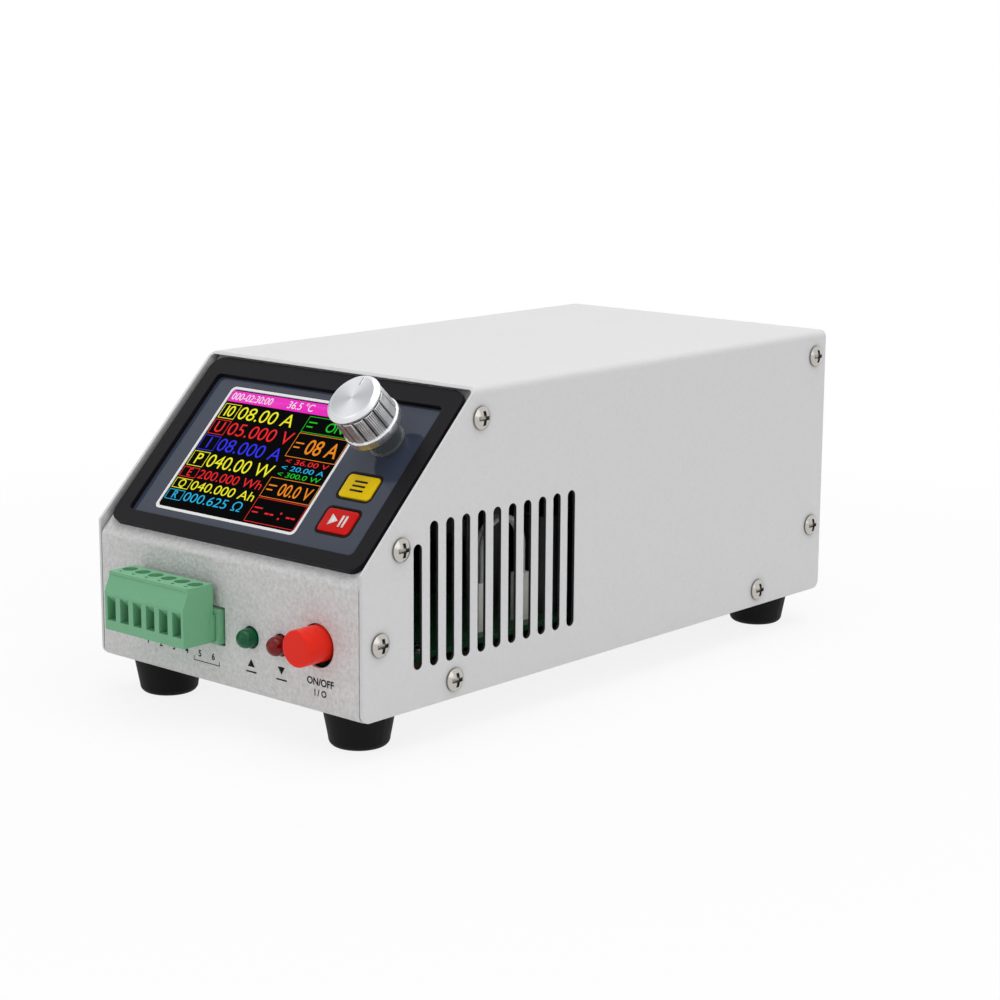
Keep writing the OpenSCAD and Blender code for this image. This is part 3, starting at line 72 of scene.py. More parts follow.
# Millimetres of the knob's profile in its whole UV map.
UV_MM = 20
# Height of a capital in the built-in font, as a part of the font's size.
CAPITAL = 0.7


def plane(x, y, z, across, up):
    """A 4 by 4 matrix in metres for a flat place: local x runs across, y up and z out of the face."""
    a, u = Vector(across), Vector(up)
    m = Matrix((a, u, a.cross(u))).transposed().to_4x4()
    m.translation = Vector((x, y, z)) * MM
    return m


HALF = math.sqrt(0.5)
SLOPE = plane(0, FRONT_Y, SLOPE_Z, (1, 0, 0), (0, HALF, HALF))
FACE = plane(0, FRONT_Y, CASE_Z, (1, 0, 0), (0, 0, 1))


# Materials


def linear(code):
    """An sRGB hex colour as linear RGBA."""
    c = np.array([int(code[i:i + 2], 16) for i in (1, 3, 5)]) / 255
    return (*np.where(c <= 0.04045, c / 12.92, ((c + 0.055) / 1.055) ** 2.4), 1.0)


def add(tree, kind, inputs=None, **settings):
    """Adds a node with its settings. An input is linked if it is a socket, and is a value elsewhere."""
    n = tree.nodes.new(kind)
    for key, value in settings.items():
        setattr(n, key, value)
    for key, value in (inputs or {}).items():
        if isinstance(value, bpy.types.NodeSocket):
            tree.links.new(value, n.inputs[key])
        else:
            n.inputs[key].default_value = value
    return n


def blank(name):
    """A new material with an empty node tree and its output node."""
    m = bpy.data.materials.new(name)
    m.use_nodes = True
    m.node_tree.nodes.clear()
    return m, m.node_tree, add(m.node_tree, "ShaderNodeOutputMaterial")


def surface(name, light, dark, rough, grain_mm, bump, depth_mm, edge_mm, edge_rub_and_shading=None, spread=0.08,
            recess_shade=None, slot_edge_shade=None, **shader):
    """A finish with two tones and a bump from one grain, and edges rounded by a small radius.
    spread is how far the roughness wanders. edge_rub_and_shading is a colour mixed onto edges, as wear and as
    painted light: paler edges are a painted highlight, darker ones painted shade. recess_shade is painted
    shade:
    a dark colour mixed in by ambient occlusion, and how near in millimetres the walls of a recess are.
    slot_edge_shade is painted shade on a side wall's punched slot edges: a dark colour, and the middle and
    half size of their field in y and in z, in millimetres.
    The shader's own values are passed on as they are."""
    patch_mm = 30 * grain_mm
    m, t, out = blank(name)
    at = add(t, "ShaderNodeTexCoord").outputs["Object"]
    grain = add(t, "ShaderNodeTexNoise", {"Vector": at, "Scale": 1 / (grain_mm * MM), "Detail": 4.0,
                                          "Roughness": 0.6})
    patch = add(t, "ShaderNodeTexNoise", {"Vector": at, "Scale": 1 / (patch_mm * MM), "Detail": 2.0})
    tone = add(t, "ShaderNodeMix", {"Factor": grain.outputs["Fac"], "A": linear(dark), "B": linear(light)},
               data_type="RGBA")
    colour = tone.outputs["Result"]
    rounded = add(t, "ShaderNodeBevel", {"Radius": edge_mm * MM}, samples=4).outputs["Normal"]
    # Edges mixed towards one colour, as wear and as painted light: a painted highlight where that colour is
    # paler, painted shade where it is darker.
    if edge_rub_and_shading:
        flat = add(t, "ShaderNodeNewGeometry").outputs["True Normal"]
        lean = add(t, "ShaderNodeVectorMath", {0: rounded, 1: flat}, operation="DOT_PRODUCT").outputs["Value"]
        edge_shading_mask = add(t, "ShaderNodeMapRange", {"Value": lean, "From Min": 0.99, "From Max": 0.8,
                                             "To Max": 0.8})
        colour = add(t, "ShaderNodeMix", {"Factor": edge_shading_mask.outputs["Result"], "A": colour, "B": linear(edge_rub_and_shading)},
                     data_type="RGBA").outputs["Result"]
    # Painted shade: a dark colour mixed in where ambient occlusion finds walls near, in recesses and round
    # parts.
    if recess_shade:
        shade_colour, near_mm = recess_shade
        clear = add(t, "ShaderNodeAmbientOcclusion", {"Distance": near_mm * MM}, samples=8).outputs["AO"]
        colour = add(t, "ShaderNodeMix", {"Factor": clear, "A": linear(shade_colour), "B": colour},
                     data_type="RGBA").outputs["Result"]
    # Painted shade: the side wall's slot edges, faces across x inside the vent field, coloured dark.
    if slot_edge_shade:
        edge, *field = slot_edge_shade
        normal = add(t, "ShaderNodeTexCoord").outputs["Normal"]
        outward = add(t, "ShaderNodeSeparateXYZ", {"Vector": normal}).outputs["X"]
        mask = add(t, "ShaderNodeMath", {0: outward, 1: 0.0, 2: 0.5}, operation="COMPARE").outputs["Value"]
        spot = add(t, "ShaderNodeSeparateXYZ", {"Vector": at})
        for axis, (middle, half) in zip("YZ", field):
            inside = add(t, "ShaderNodeMath", {0: spot.outputs[axis], 1: middle * MM, 2: half * MM},
                         operation="COMPARE").outputs["Value"]
            mask = add(t, "ShaderNodeMath", {0: mask, 1: inside}, operation="MULTIPLY").outputs["Value"]
        colour = add(t, "ShaderNodeMix", {"Factor": mask, "A": colour, "B": linear(edge)},
                     data_type="RGBA").outputs["Result"]
    relief = add(t, "ShaderNodeBump", {"Strength": bump, "Distance": depth_mm * MM,
                                       "Height": grain.outputs["Fac"], "Normal": rounded})
    sheen = add(t, "ShaderNodeMapRange", {"Value": patch.outputs["Fac"], "To Min": rough - spread,
                                          "To Max": rough + spread})
    bsdf = add(t, "ShaderNodeBsdfPrincipled", {"Base Color": colour, "Roughness": sheen.outputs["Result"],
                                               "Normal": relief.outputs["Normal"], **shader})
    t.links.new(bsdf.outputs["BSDF"], out.inputs["Surface"])
    return m


# Wrinkle powder coat on steel: small round bumps that catch the light one by one, with paler bent edges as a
# painted highlight. On the cover, painted shade darkens recesses, the ground round the screw heads and the
# vent slots' cut edges.
powder_cover = surface("wrinkle_powder_coat_cover", "#e2e2e3", "#d6d6d7", rough=0.5, grain_mm=0.9,
                       bump=0.35, depth_mm=0.07, edge_mm=0.35, edge_rub_and_shading="#f4f4f4", recess_shade=("#4c4c4d", 2.5),
                       slot_edge_shade=("#2c2c2d", (-44.5, 31.0), (38.4, 18.5)))
powder_chassis = surface("wrinkle_powder_coat_chassis", "#f6f5f5", "#b3b2b2", rough=0.48, grain_mm=1.05,
                         bump=1.0, depth_mm=0.35, edge_mm=0.35, edge_rub_and_shading="#f2f2f2")
# Spark eroded ABS: a dull black skin with a fine even grain, and paler edges as a painted highlight.
bezel_abs = surface("spark_eroded_black_abs", "#18181b", "#111114", rough=0.42, grain_mm=0.25, bump=0.25,
                    depth_mm=0.02, edge_mm=0.3, edge_rub_and_shading="#2e2e34", **{"Specular IOR Level": 0.1})
# Cast acrylic over dark film: a smooth, mirror-like face and a blue grey depth.
window_acrylic = surface("glossy_acrylic_window", "#3c4354", "#363d4e", rough=0.08, grain_mm=3.0, bump=0.02,
                         depth_mm=0.01, edge_mm=0.15, spread=0.03,
                         **{"IOR": 1.49, "Specular IOR Level": 0.3})
# White moulded ABS of the screen's surround.
screen_abs = surface("moulded_white_abs", "#f7f7f8", "#eeeeef", rough=0.3, grain_mm=0.5, bump=0.05,
                     depth_mm=0.01, edge_mm=0.1)
# Cover glass of the screen: black and smooth when unlit.
screen_glass = surface("unlit_screen_glass", "#050506", "#020203", rough=0.06, grain_mm=5.0, bump=0.01,
                       depth_mm=0.01, edge_mm=0.05, spread=0.02, **{"Specular IOR Level": 0.01})
# Green solder resist over copper: glossy, with a slightly mottled tone.
board_resist = surface("green_solder_resist", "#1d5b34", "#123f23", rough=0.28, grain_mm=1.2, bump=0.15,
                       depth_mm=0.03, edge_mm=0.1)
# Black PBT of switches and holders.
switch_pbt = surface("moulded_black_pbt", "#202022", "#161617", rough=0.45, grain_mm=0.4, bump=0.15,
                     depth_mm=0.02, edge_mm=0.15)
# Ivory nylon of sockets and plungers.
ivory_nylon = surface("moulded_ivory_nylon", "#f2f1ec", "#e8e6de", rough=0.42, grain_mm=0.5, bump=0.1,
                      depth_mm=0.02, edge_mm=0.15)
# Tinted glossy keys, moulded in colour.
yellow_key = surface("moulded_yellow_abs", "#fbd602", "#f2ca00", rough=0.25, grain_mm=0.6, bump=0.06,
                     depth_mm=0.01, edge_mm=0.1, **{"Specular IOR Level": 0.1})
red_key = surface("moulded_red_abs", "#dc1610", "#ce110c", rough=0.25, grain_mm=0.6, bump=0.06,
                  depth_mm=0.01, edge_mm=0.1, **{"Specular IOR Level": 0.1})
# Die cast zinc of the encoder: grey, slightly grainy.
encoder_zinc = surface("die_cast_zinc", "#a9a9aa", "#959596", rough=0.38, grain_mm=0.4, bump=0.2,
                       depth_mm=0.02, edge_mm=0.15, **{"Metallic": 1.0})
# Smoky polycarbonate of the collar nut: glossy, dark, lets a little light through, with a pale painted
# highlight on its edges.
collar_smoke = surface("smoky_polycarbonate", "#63696b", "#565c5e", rough=0.12, grain_mm=0.8, bump=0.04,
                       depth_mm=0.01, edge_mm=0.2, edge_rub_and_shading="#aeb3b3", spread=0.04,
                       **{"IOR": 1.58, "Transmission Weight": 0.35})
# Orange red push button, moulded ABS with a soft shine.
button_abs = surface("moulded_orange_red_abs", "#f4301f", "#ea291a", rough=0.3, grain_mm=0.5, bump=0.08,
                     depth_mm=0.02, edge_mm=0.2, **{"Specular IOR Level": 0.12})
# Green polyamide terminals: a soft satin skin with paler edges, a painted highlight.
terminal_pa = surface("green_polyamide", "#77b98d", "#6dae83", rough=0.45, grain_mm=0.5, bump=0.12,
                      depth_mm=0.02, edge_mm=0.2, edge_rub_and_shading="#93cba5")
# Tinned brass contacts.
contact_brass = surface("tinned_brass", "#cdbb86", "#b9a674", rough=0.3, grain_mm=0.5, bump=0.15,
                        depth_mm=0.02, edge_mm=0.08, **{"Metallic": 1.0})
# Zinc plated steel of the terminal screws and clamps.
zinc_steel = surface("zinc_plated_steel", "#c3c5c6", "#adafb0", rough=0.3, grain_mm=0.4, bump=0.15,
                     depth_mm=0.02, edge_mm=0.08, **{"Metallic": 1.0})
# Nickel plated steel of the pan head screws: bright, with painted shade in the recesses and a dark painted
# rim on the edges, for shade and dark reflections.
nickel_steel = surface("nickel_plated_steel", "#c8c4be", "#b0aca6", rough=0.17, grain_mm=0.4, bump=0.1,
                       depth_mm=0.02, edge_mm=0.3, edge_rub_and_shading="#37322f", spread=0.05, recess_shade=("#1d1b1a", 1.5),
                       **{"Metallic": 1.0})
# Black anodised aluminium of the heatsink, dull with drawing marks.
sink_metal = surface("black_anodised_aluminium", "#1d1d1f", "#141416", rough=0.42, grain_mm=0.8, bump=0.2,
                     depth_mm=0.03, edge_mm=0.15, edge_rub_and_shading="#3a3a3c")
# PVC shrink sleeve of the capacitors.
sleeve_pvc = surface("shrunk_pvc_sleeve", "#15161d", "#0f1016", rough=0.3, grain_mm=1.0, bump=0.1,
                     depth_mm=0.02, edge_mm=0.3)
# PVC insulation of cables and leads.
cable_pvc = surface("grey_pvc_insulation", "#c9cacc", "#b9babc", rough=0.45, grain_mm=0.8, bump=0.1,
                    depth_mm=0.02, edge_mm=0.1)
lead_pvc = surface("red_pvc_insulation", "#b3201c", "#9c1916", rough=0.38, grain_mm=0.8, bump=0.1,
                   depth_mm=0.02, edge_mm=0.1)
# Glass filled PBT of the fan: black, slightly streaky.
fan_pbt = surface("glass_filled_black_pbt", "#1d1d1e", "#141415", rough=0.5, grain_mm=0.6, bump=0.2,
                  depth_mm=0.03, edge_mm=0.2)
# Bright nickel chrome plate on the guard's wire.
guard_plate = surface("chrome_plated_wire", "#d8dadb", "#c9cbcc", rough=0.12, grain_mm=0.6, bump=0.06,
                      depth_mm=0.01, edge_mm=0.1, **{"Metallic": 1.0})
# Moulded natural rubber: dull, nearly black, faintly dusty.
foot_rubber = surface("moulded_black_rubber", "#161616", "#0d0d0d", rough=0.6, grain_mm=0.5, bump=0.2,
                      depth_mm=0.03, edge_mm=0.3, edge_rub_and_shading="#202020", **{"Specular IOR Level": 0.12})
# Black screen printing ink, and white ink on the red key.
black_ink = surface("black_printing_ink", "#0e0e0f", "#080809", rough=0.5, grain_mm=0.3, bump=0.05,
                    depth_mm=0.005, edge_mm=0.02, **{"Specular IOR Level": 0.1})
white_ink = surface("white_printing_ink", "#f3f2f0", "#e9e8e6", rough=0.45, grain_mm=0.3, bump=0.05,
                    depth_mm=0.005, edge_mm=0.02)
# Stamped silver plated steel inside the lamps.
lamp_steel = surface("silver_plated_steel", "#cfd0d0", "#bfc0c0", rough=0.25, grain_mm=0.3, bump=0.1,
                     depth_mm=0.01, edge_mm=0.05, **{"Metallic": 1.0})


def epoxy(name, code, deep):
    """Cast epoxy of an unlit lamp, tinted in the mass: smooth, and lets little light through."""
    return surface(name, code, deep, rough=0.06, grain_mm=2.0, bump=0.02, depth_mm=0.005, edge_mm=0.1,
                   spread=0.02, **{"IOR": 1.55, "Specular IOR Level": 0.2, "Transmission Weight": 0.1})


green_epoxy = epoxy("green_cast_epoxy", "#04683e", "#034a2b")
red_epoxy = epoxy("red_cast_epoxy", "#900408", "#6e0305")


def lit(name, code):
    """Lit screen points: light in rows of fine square cells with darker lines between them."""
    cell_mm = 0.3
    m, t, out = blank(name)
    at = add(t, "ShaderNodeTexCoord").outputs["Object"]
    level = add(t, "ShaderNodeMapping", {"Vector": at, "Rotation": (-math.pi / 4, 0, 0)}).outputs["Vector"]
    cells = add(t, "ShaderNodeTexBrick", {"Vector": level, "Color1": linear("#ffffff"),
                                          "Color2": linear("#f4f4f4"), "Mortar": linear("#d8d8d8"),
                                          "Scale": 1 / (cell_mm * MM), "Mortar Size": 0.06,
                                          "Brick Width": 1.0, "Row Height": 1.0}, offset=0.0)
    glow = add(t, "ShaderNodeMix", {"Factor": 1.0, "A": cells.outputs["Color"], "B": linear(code)},
               data_type="RGBA", blend_type="MULTIPLY")
    bsdf = add(t, "ShaderNodeBsdfPrincipled", {"Base Color": linear("#050506"), "Roughness": 0.1,
                                               "Specular IOR Level": 0.06,
                                               "Emission Color": glow.outputs["Result"],
                                               "Emission Strength": 1.0})
    t.links.new(bsdf.outputs["BSDF"], out.inputs["Surface"])
    return m


def turned_aluminium():
    """Turned and knurled aluminium: a smooth top whose circular tool marks spread each highlight into two
    fans, with two dark fans also painted into the top's colour as a painted reflection, a white painted
    highlight along the milled mark, and duller ribbed sides with painted shade in the flutes. The piece's own
    UV map has u round the axis, and v up the profile to 1 at the top's middle."""
    top_from, top_to = 0.66, 0.68
    mark_u, mark_u_half, mark_v, mark_v_half = 0.25, 0.009, 0.725, 0.055
    flute_mm = 0.8
    m, t, out = blank("turned_aluminium")
    uv = add(t, "ShaderNodeUVMap", uv_map="turning").outputs["UV"]
    rings = add(t, "ShaderNodeMapping", {"Vector": uv, "Scale": (4.0, 220.0, 1.0)}).outputs["Vector"]
    marks = add(t, "ShaderNodeTexNoise", {"Vector": rings, "Scale": 1.0, "Detail": 3.0})
    tone = add(t, "ShaderNodeMix", {"Factor": marks.outputs["Fac"], "A": linear("#d3d4d7"),
                                    "B": linear("#e8e9eb")}, data_type="RGBA")
    spot = add(t, "ShaderNodeSeparateXYZ", {"Vector": uv}).outputs
    top = add(t, "ShaderNodeMapRange", {"Value": spot["Y"], "From Min": top_from,
                                        "From Max": top_to}).outputs["Result"]
    # Painted reflection: two dark fans round the top, from a wave round the axis.
    fans = add(t, "ShaderNodeTexWave", {"Vector": uv, "Scale": math.pi / 5, "Phase Offset": 2.4},
               wave_type="BANDS", bands_direction="X")
    shade = add(t, "ShaderNodeMath", {0: fans.outputs["Fac"], 1: top}, operation="MULTIPLY")
    colour = add(t, "ShaderNodeMix", {"Factor": shade.outputs["Value"], "A": tone.outputs["Result"],
                                      "B": linear("#babcc0")}, data_type="RGBA")
    # Painted highlight: a white stripe along the milled mark, for its bright walls.
    line = add(t, "ShaderNodeMath", {0: spot["X"], 1: mark_u, 2: mark_u_half},
               operation="COMPARE").outputs["Value"]
    outer = add(t, "ShaderNodeMath", {0: spot["Y"], 1: mark_v, 2: mark_v_half},
                operation="COMPARE").outputs["Value"]
    mark = add(t, "ShaderNodeMath", {0: line, 1: outer}, operation="MULTIPLY").outputs["Value"]
    marked = add(t, "ShaderNodeMix", {"Factor": mark, "A": colour.outputs["Result"], "B": linear("#ffffff")},
                 data_type="RGBA")
    # Painted shade: dark in the flutes, where ambient occlusion finds walls near.
    clear = add(t, "ShaderNodeAmbientOcclusion", {"Distance": flute_mm * MM}, samples=8).outputs["AO"]
    unshaded = add(t, "ShaderNodeMapRange", {"Value": clear, "From Min": 0.55,
                                          "From Max": 0.92}).outputs["Result"]
    flute_shaded = add(t, "ShaderNodeMix", {"Factor": unshaded, "A": linear("#2b2b2d"), "B": marked.outputs["Result"]},
                 data_type="RGBA")
    shine = add(t, "ShaderNodeMapRange", {"Value": top, "To Min": 0.4, "To Max": 0.28})
    along = add(t, "ShaderNodeTangent", direction_type="UV_MAP", uv_map="turning")
    relief = add(t, "ShaderNodeBump", {"Strength": 0.12, "Distance": 0.01 * MM,
                                       "Height": marks.outputs["Fac"]})
    bsdf = add(t, "ShaderNodeBsdfPrincipled", {"Base Color": flute_shaded.outputs["Result"], "Metallic": 1.0,
                                               "Roughness": shine.outputs["Result"], "Anisotropic": 0.5,
                                               "Tangent": along.outputs["Tangent"],
                                               "Normal": relief.outputs["Normal"]})
    t.links.new(bsdf.outputs["BSDF"], out.inputs["Surface"])
    return m


knob_metal = turned_aluminium()

FINISHES = {
    "cover_paint": powder_cover, "chassis_paint": powder_chassis, "screw_steel": nickel_steel,
    "foot_rubber": foot_rubber, "bezel_plastic": bezel_abs, "window_plastic": window_acrylic,
    "screen_white": screen_abs, "screen_glass": screen_glass, "board_green": board_resist,
    "switch_plastic": switch_pbt, "plunger_plastic": ivory_nylon, "menu_key_yellow": yellow_key,
    "run_key_red": red_key, "encoder_metal": encoder_zinc, "collar_plastic": collar_smoke,
    "knob_aluminium": knob_metal, "button_red": button_abs, "lamp_green": green_epoxy,
    "lamp_red": red_epoxy, "terminal_green": terminal_pa, "contact_brass": contact_brass,
    "terminal_steel": zinc_steel, "sink_aluminium": sink_metal, "capacitor_sleeve": sleeve_pvc,
    "cable_grey": cable_pvc, "lead_red": lead_pvc, "fan_plastic": fan_pbt, "guard_chrome": guard_plate,
}
for subpart in frame["record"]["subparts"]:
    mesh = frame["nodes"][subpart["node"]].data
    mesh.materials.clear()
    mesh.materials.append(FINISHES[subpart["material_slot"]])


# New pieces


def piece(name, points, faces, finish, body, sharp_deg=35, uv=None):
    """A mesh piece from whole arrays of points, in metres, and faces, riding on a body. Edges sharper than
    sharp_deg stay hard. uv is one pair for each face corner."""
    mesh = bpy.data.meshes.new(name)
    mesh.from_pydata(points.tolist(), [], faces)
    mesh.polygons.foreach_set("use_smooth", np.ones(len(mesh.polygons), bool))
    mesh.set_sharp_from_angle(angle=math.radians(sharp_deg))
    if uv is not None:
        mesh.uv_layers.new(name="turning").data.foreach_set("uv", uv.astype(np.float32).ravel())
    mesh.materials.append(finish)
    obj = bpy.data.objects.new(name, mesh)
    bpy.context.scene.collection.objects.link(obj)
    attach(obj, body)
    return obj


def put(points, place):
    """Points in local millimetres moved to a place, as metres."""
    m = np.array(place)
    return points * MM @ m[:3, :3].T + m[:3, 3]


def closed_rings(rings):
    """A closed skin over a stack of rings, an array of rings, points and coordinates: quads between one ring
    and the next, and a fan of triangles to the middle of the first and of the last. It faces away from the
    axis."""
    rows, columns = rings.shape[:2]
    i, k = np.meshgrid(np.arange(rows - 1), np.arange(columns), indexing="ij")
    a, b = i * columns + k, i * columns + (k + 1) % columns
    quads = np.stack([a, b, b + columns, a + columns], axis=-1).reshape(-1, 4)
    points = np.concatenate([rings.reshape(-1, 3), rings[[0, -1]].mean(axis=1)])
    first, pole = np.arange(columns), np.full(columns, rows * columns)
    last = first + (rows - 1) * columns
    fans = np.concatenate([np.stack([pole, np.roll(first, -1), first], 1),
                           np.stack([pole + 1, last, np.roll(last, -1)], 1)])
    return points, quads.tolist() + fans.tolist()


def turned_knob():
    """The knob as a surface of turning: radius is a profile over height, less V flutes between the grip's
    panels and less a fine cosine rib on the panels and the skirt."""
    r, low = 7.9, 4.6
    flutes, flute_half, ribs, turn = 14, 0.62, 84, 1344
    mark_half, mark_inner, mark_low, mark_depth = 0.3, 4.4, 11.1, 0.12
    # Height above the lower edge, radius, depth of flutes, depth of ribs
    profile = np.array([
        [9.75, 3.05, 0, 0], [0.0, 3.05, 0, 0], [0.0, 7.2, 0, 0], [0.08, 7.55, 0, 0], [0.3, 7.82, 0, 0],
        [0.42, 7.88, 0, 0.05], [0.55, 7.9, 0, 0.07], [2.15, 7.9, 0, 0.07], [2.27, 7.88, 0, 0.05],
        [2.4, 7.8, 0, 0], [2.62, 7.56, 0, 0],
        [2.68, 7.52, 0.2, 0], [2.8, 7.52, 0.5, 0.02], [2.98, 7.52, 0.62, 0.14],
        [5.0, 7.46, 0.62, 0.14], [7.0, 7.4, 0.62, 0.14], [9.2, 7.34, 0.62, 0.14], [9.42, 7.32, 0.6, 0.02],
        [9.56, 7.25, 0.4, 0], [9.68, 7.1, 0.2, 0], [9.78, 6.95, 0, 0], [9.9, 6.92, 0, 0], [10.02, 7.05, 0, 0],
        [10.14, 7.4, 0, 0], [10.24, 7.48, 0, 0], [10.36, 7.5, 0, 0], [10.72, 7.5, 0, 0], [10.85, 7.43, 0, 0],
        [11.55, 6.5, 0, 0], [11.64, 6.4, 0, 0], [11.7, 6.3, 0, 0], [11.68, 6.2, 0, 0], [11.63, 6.1, 0, 0],
        [11.63, 5.4, 0, 0], [11.63, 4.5, 0, 0], [11.63, 3.5, 0, 0], [11.63, 2.0, 0, 0], [11.63, 0.8, 0, 0],
        [11.63, 0.1, 0, 0]])
    z, radius, flute, rib = (profile[:, i, None] for i in range(4))
    angle = np.linspace(0, 2 * np.pi, turn, endpoint=False)[None, :]
    phase = (angle * flutes / (2 * np.pi)) % 1.0
    across = np.abs(phase - 0.5) * 2 * np.pi * r / flutes
    groove = np.clip(1 - across / flute_half, 0, 1)
    out = radius - flute * groove - rib * (0.5 + 0.5 * np.cos(ribs * angle)) * (groove == 0)
    # A short mark milled in the top, towards the upper edge
    mark = ((np.abs(np.cos(angle)) * radius < mark_half) & (np.sin(angle) > 0)
            & (radius > mark_inner) & (z > mark_low))
    height = low + z + 0 * angle - mark_depth * mark
    points, faces = closed_rings(np.stack([out * np.cos(angle), out * np.sin(angle), height], axis=-1))
    along = np.concatenate([[0], np.cumsum(np.hypot(*np.diff(profile[:, :2], axis=0).T))]) / UV_MM
    along += 1 - along[-1]
    u = np.arange(turn + 1) / turn
    i, k = np.meshgrid(np.arange(len(profile) - 1), np.arange(turn), indexing="ij")
    sides = np.stack([np.stack([u[k], along[i]], -1), np.stack([u[k + 1], along[i]], -1),
                      np.stack([u[k + 1], along[i + 1]], -1), np.stack([u[k], along[i + 1]], -1)], axis=2)
    mid, near, far = (u[:-1] + u[1:]) / 2, u[:-1], u[1:]
    ends = [np.stack([np.stack([c, v + 0 * c], -1) for c in corners], 1)
            for corners, v in (((mid, far, near), along[0]), ((mid, near, far), along[-1]))]
    uv = np.concatenate([part.reshape(-1, 2) for part in (sides, *ends)])
    place = SLOPE @ Matrix.Translation(Vector((COLUMN_X, KNOB_S, 0)) * MM)
    obj = piece("knob_turned", put(points, place), faces, knob_metal, "knob",
                sharp_deg=28, uv=uv)
    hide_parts("knob")


turned_knob()


def round_outline(w, h, r):
    """Points round a rectangle with round corners: a quarter circle about each corner's centre."""
    a = np.linspace(0, np.pi / 2, CORNER_POINTS)[None, :] + np.arange(4)[:, None] * np.pi / 2
    cx = np.array([1, -1, -1, 1])[:, None] * (w / 2 - r)
    cy = np.array([1, 1, -1, -1])[:, None] * (h / 2 - r)
    return np.stack([cx + r * np.cos(a), cy + r * np.sin(a)], -1).reshape(-1, 2)


def key_cap(name, s, finish, body, node):
    """A key: its rounded outline carried up straight, round a small upper edge, and in over a low dome.
    A flange at its foot stays below the window."""
    w, h, r, edge, dome = KEY_W, KEY_H, KEY_R, 0.25, 0.18
    foot, top, flange, flange_t, least_r = -4.0, KEY_TOP - dome, 0.8, 0.6, 0.3
    steps = np.linspace(0, np.pi / 2, 6)
    inset = np.concatenate([[-flange, -flange, 0.0], edge * (1 - np.cos(steps))])
    rise = np.concatenate([[foot, foot + flange_t, foot + flange_t], top - edge * (1 - np.sin(steps))])
    sides = np.stack([np.concatenate([round_outline(w - 2 * d, h - 2 * d, max(r - d, least_r)),
                                      np.full((4 * CORNER_POINTS, 1), z)], axis=1)
                      for d, z in zip(inset, rise)])
    shrink = np.linspace(1, 0.04, 9)[1:, None, None]
    crown = sides[-1:] * np.array([1, 1, 0]) * shrink + np.array([0, 0, 1]) * (top + dome * (1 - shrink ** 2))
    points, faces = closed_rings(np.concatenate([sides, crown]))
    place = SLOPE @ Matrix.Translation(Vector((COLUMN_X, s, 0)) * MM)
    obj = piece(name, put(points, place), faces, finish, body, sharp_deg=40)
    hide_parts(node)


key_cap("menu_key_cap", MENU_S, yellow_key, "menu_key", "menu_key")
key_cap("run_key_cap", RUN_S, red_key, "run_key", "run_key")


def lamp_core(name, x):
    """The stamped cup inside a lamp: a cone's profile turned about the lamp's axis, closed behind."""
    # Height out of the front face, radius
    profile = np.array([[-3.6, 0.05], [-3.6, 0.5], [-0.6, 0.5], [-0.2, 0.8], [0.6, 1.1], [0.6, 0.95],
                        [0.1, 0.45], [0.0, 0.05]])
    a = np.linspace(0, 2 * np.pi, 32, endpoint=False)[None, :]
    y, r = profile[:, 0, None], profile[:, 1, None]
    points, faces = closed_rings(np.stack([r * np.cos(a), r * np.sin(a), y + 0 * a], -1))
    place = FACE @ Matrix.Translation(Vector((x, LAMP_Z, 0)) * MM)
    piece(name, put(points, place), faces, lamp_steel, "case")


lamp_core("green_lamp_core", LAMPS["green"])
lamp_core("red_lamp_core", LAMPS["red"])


# Printed marks and the lit screen: flat shapes in local millimetres


def bar(x0, y0, x1, y1):
    """A filled rectangle."""
    return np.array([[x0, y0], [x1, y0], [x1, y1], [x0, y1]], float), np.array([[0, 1, 2], [0, 2, 3]])


def shape(*corners):
    """A filled convex shape from its corners, as a fan of triangles."""
    n = len(corners)
    return np.array(corners, float), np.array([[0, i, i + 1] for i in range(1, n - 1)])


def outline(x0, y0, x1, y1, line):
    """A rectangle's edge as a band of even width: an outer and an inner ring joined."""
    o = np.array([[x0, y0], [x1, y0], [x1, y1], [x0, y1]], float)
    n = o + line * np.array([[1, 1], [-1, 1], [-1, -1], [1, -1]])
    k = np.arange(4)
    j = (k + 1) % 4
    faces = np.concatenate([np.stack([k, j, j + 4], 1), np.stack([k, j + 4, k + 4], 1)])
    return np.concatenate([o, n]), faces


def words(text, x, y, cap, align="LEFT", bold=0.0, span=None):
    """Lettering filled from a font's outline. cap is the height of a capital, y its foot and span the width
    of the whole. bold widens each stroke, as a part of the font's size."""
    size = cap / CAPITAL
    curve = bpy.data.curves.new("words", "FONT")
    curve.body, curve.size, curve.offset, curve.align_x = text, size, bold * size, align
    obj = bpy.data.objects.new("words", curve)
    bpy.context.scene.collection.objects.link(obj)
    mesh = bpy.data.meshes.new_from_object(obj.evaluated_get(bpy.context.evaluated_depsgraph_get()))
    mesh.calc_loop_triangles()
    points = np.empty(len(mesh.vertices) * 3, np.float32)
    faces = np.empty(len(mesh.loop_triangles) * 3, np.int32)
    mesh.vertices.foreach_get("co", points)
    mesh.loop_triangles.foreach_get("vertices", faces)
    bpy.data.objects.remove(obj)
    bpy.data.curves.remove(curve)
    bpy.data.meshes.remove(mesh)
    points = points.reshape(-1, 3)[:, :2]
    stretch = span / np.ptp(points[:, 0]) if span else 1.0
    return points * (stretch, 1) + (x, y), faces.reshape(-1, 3)


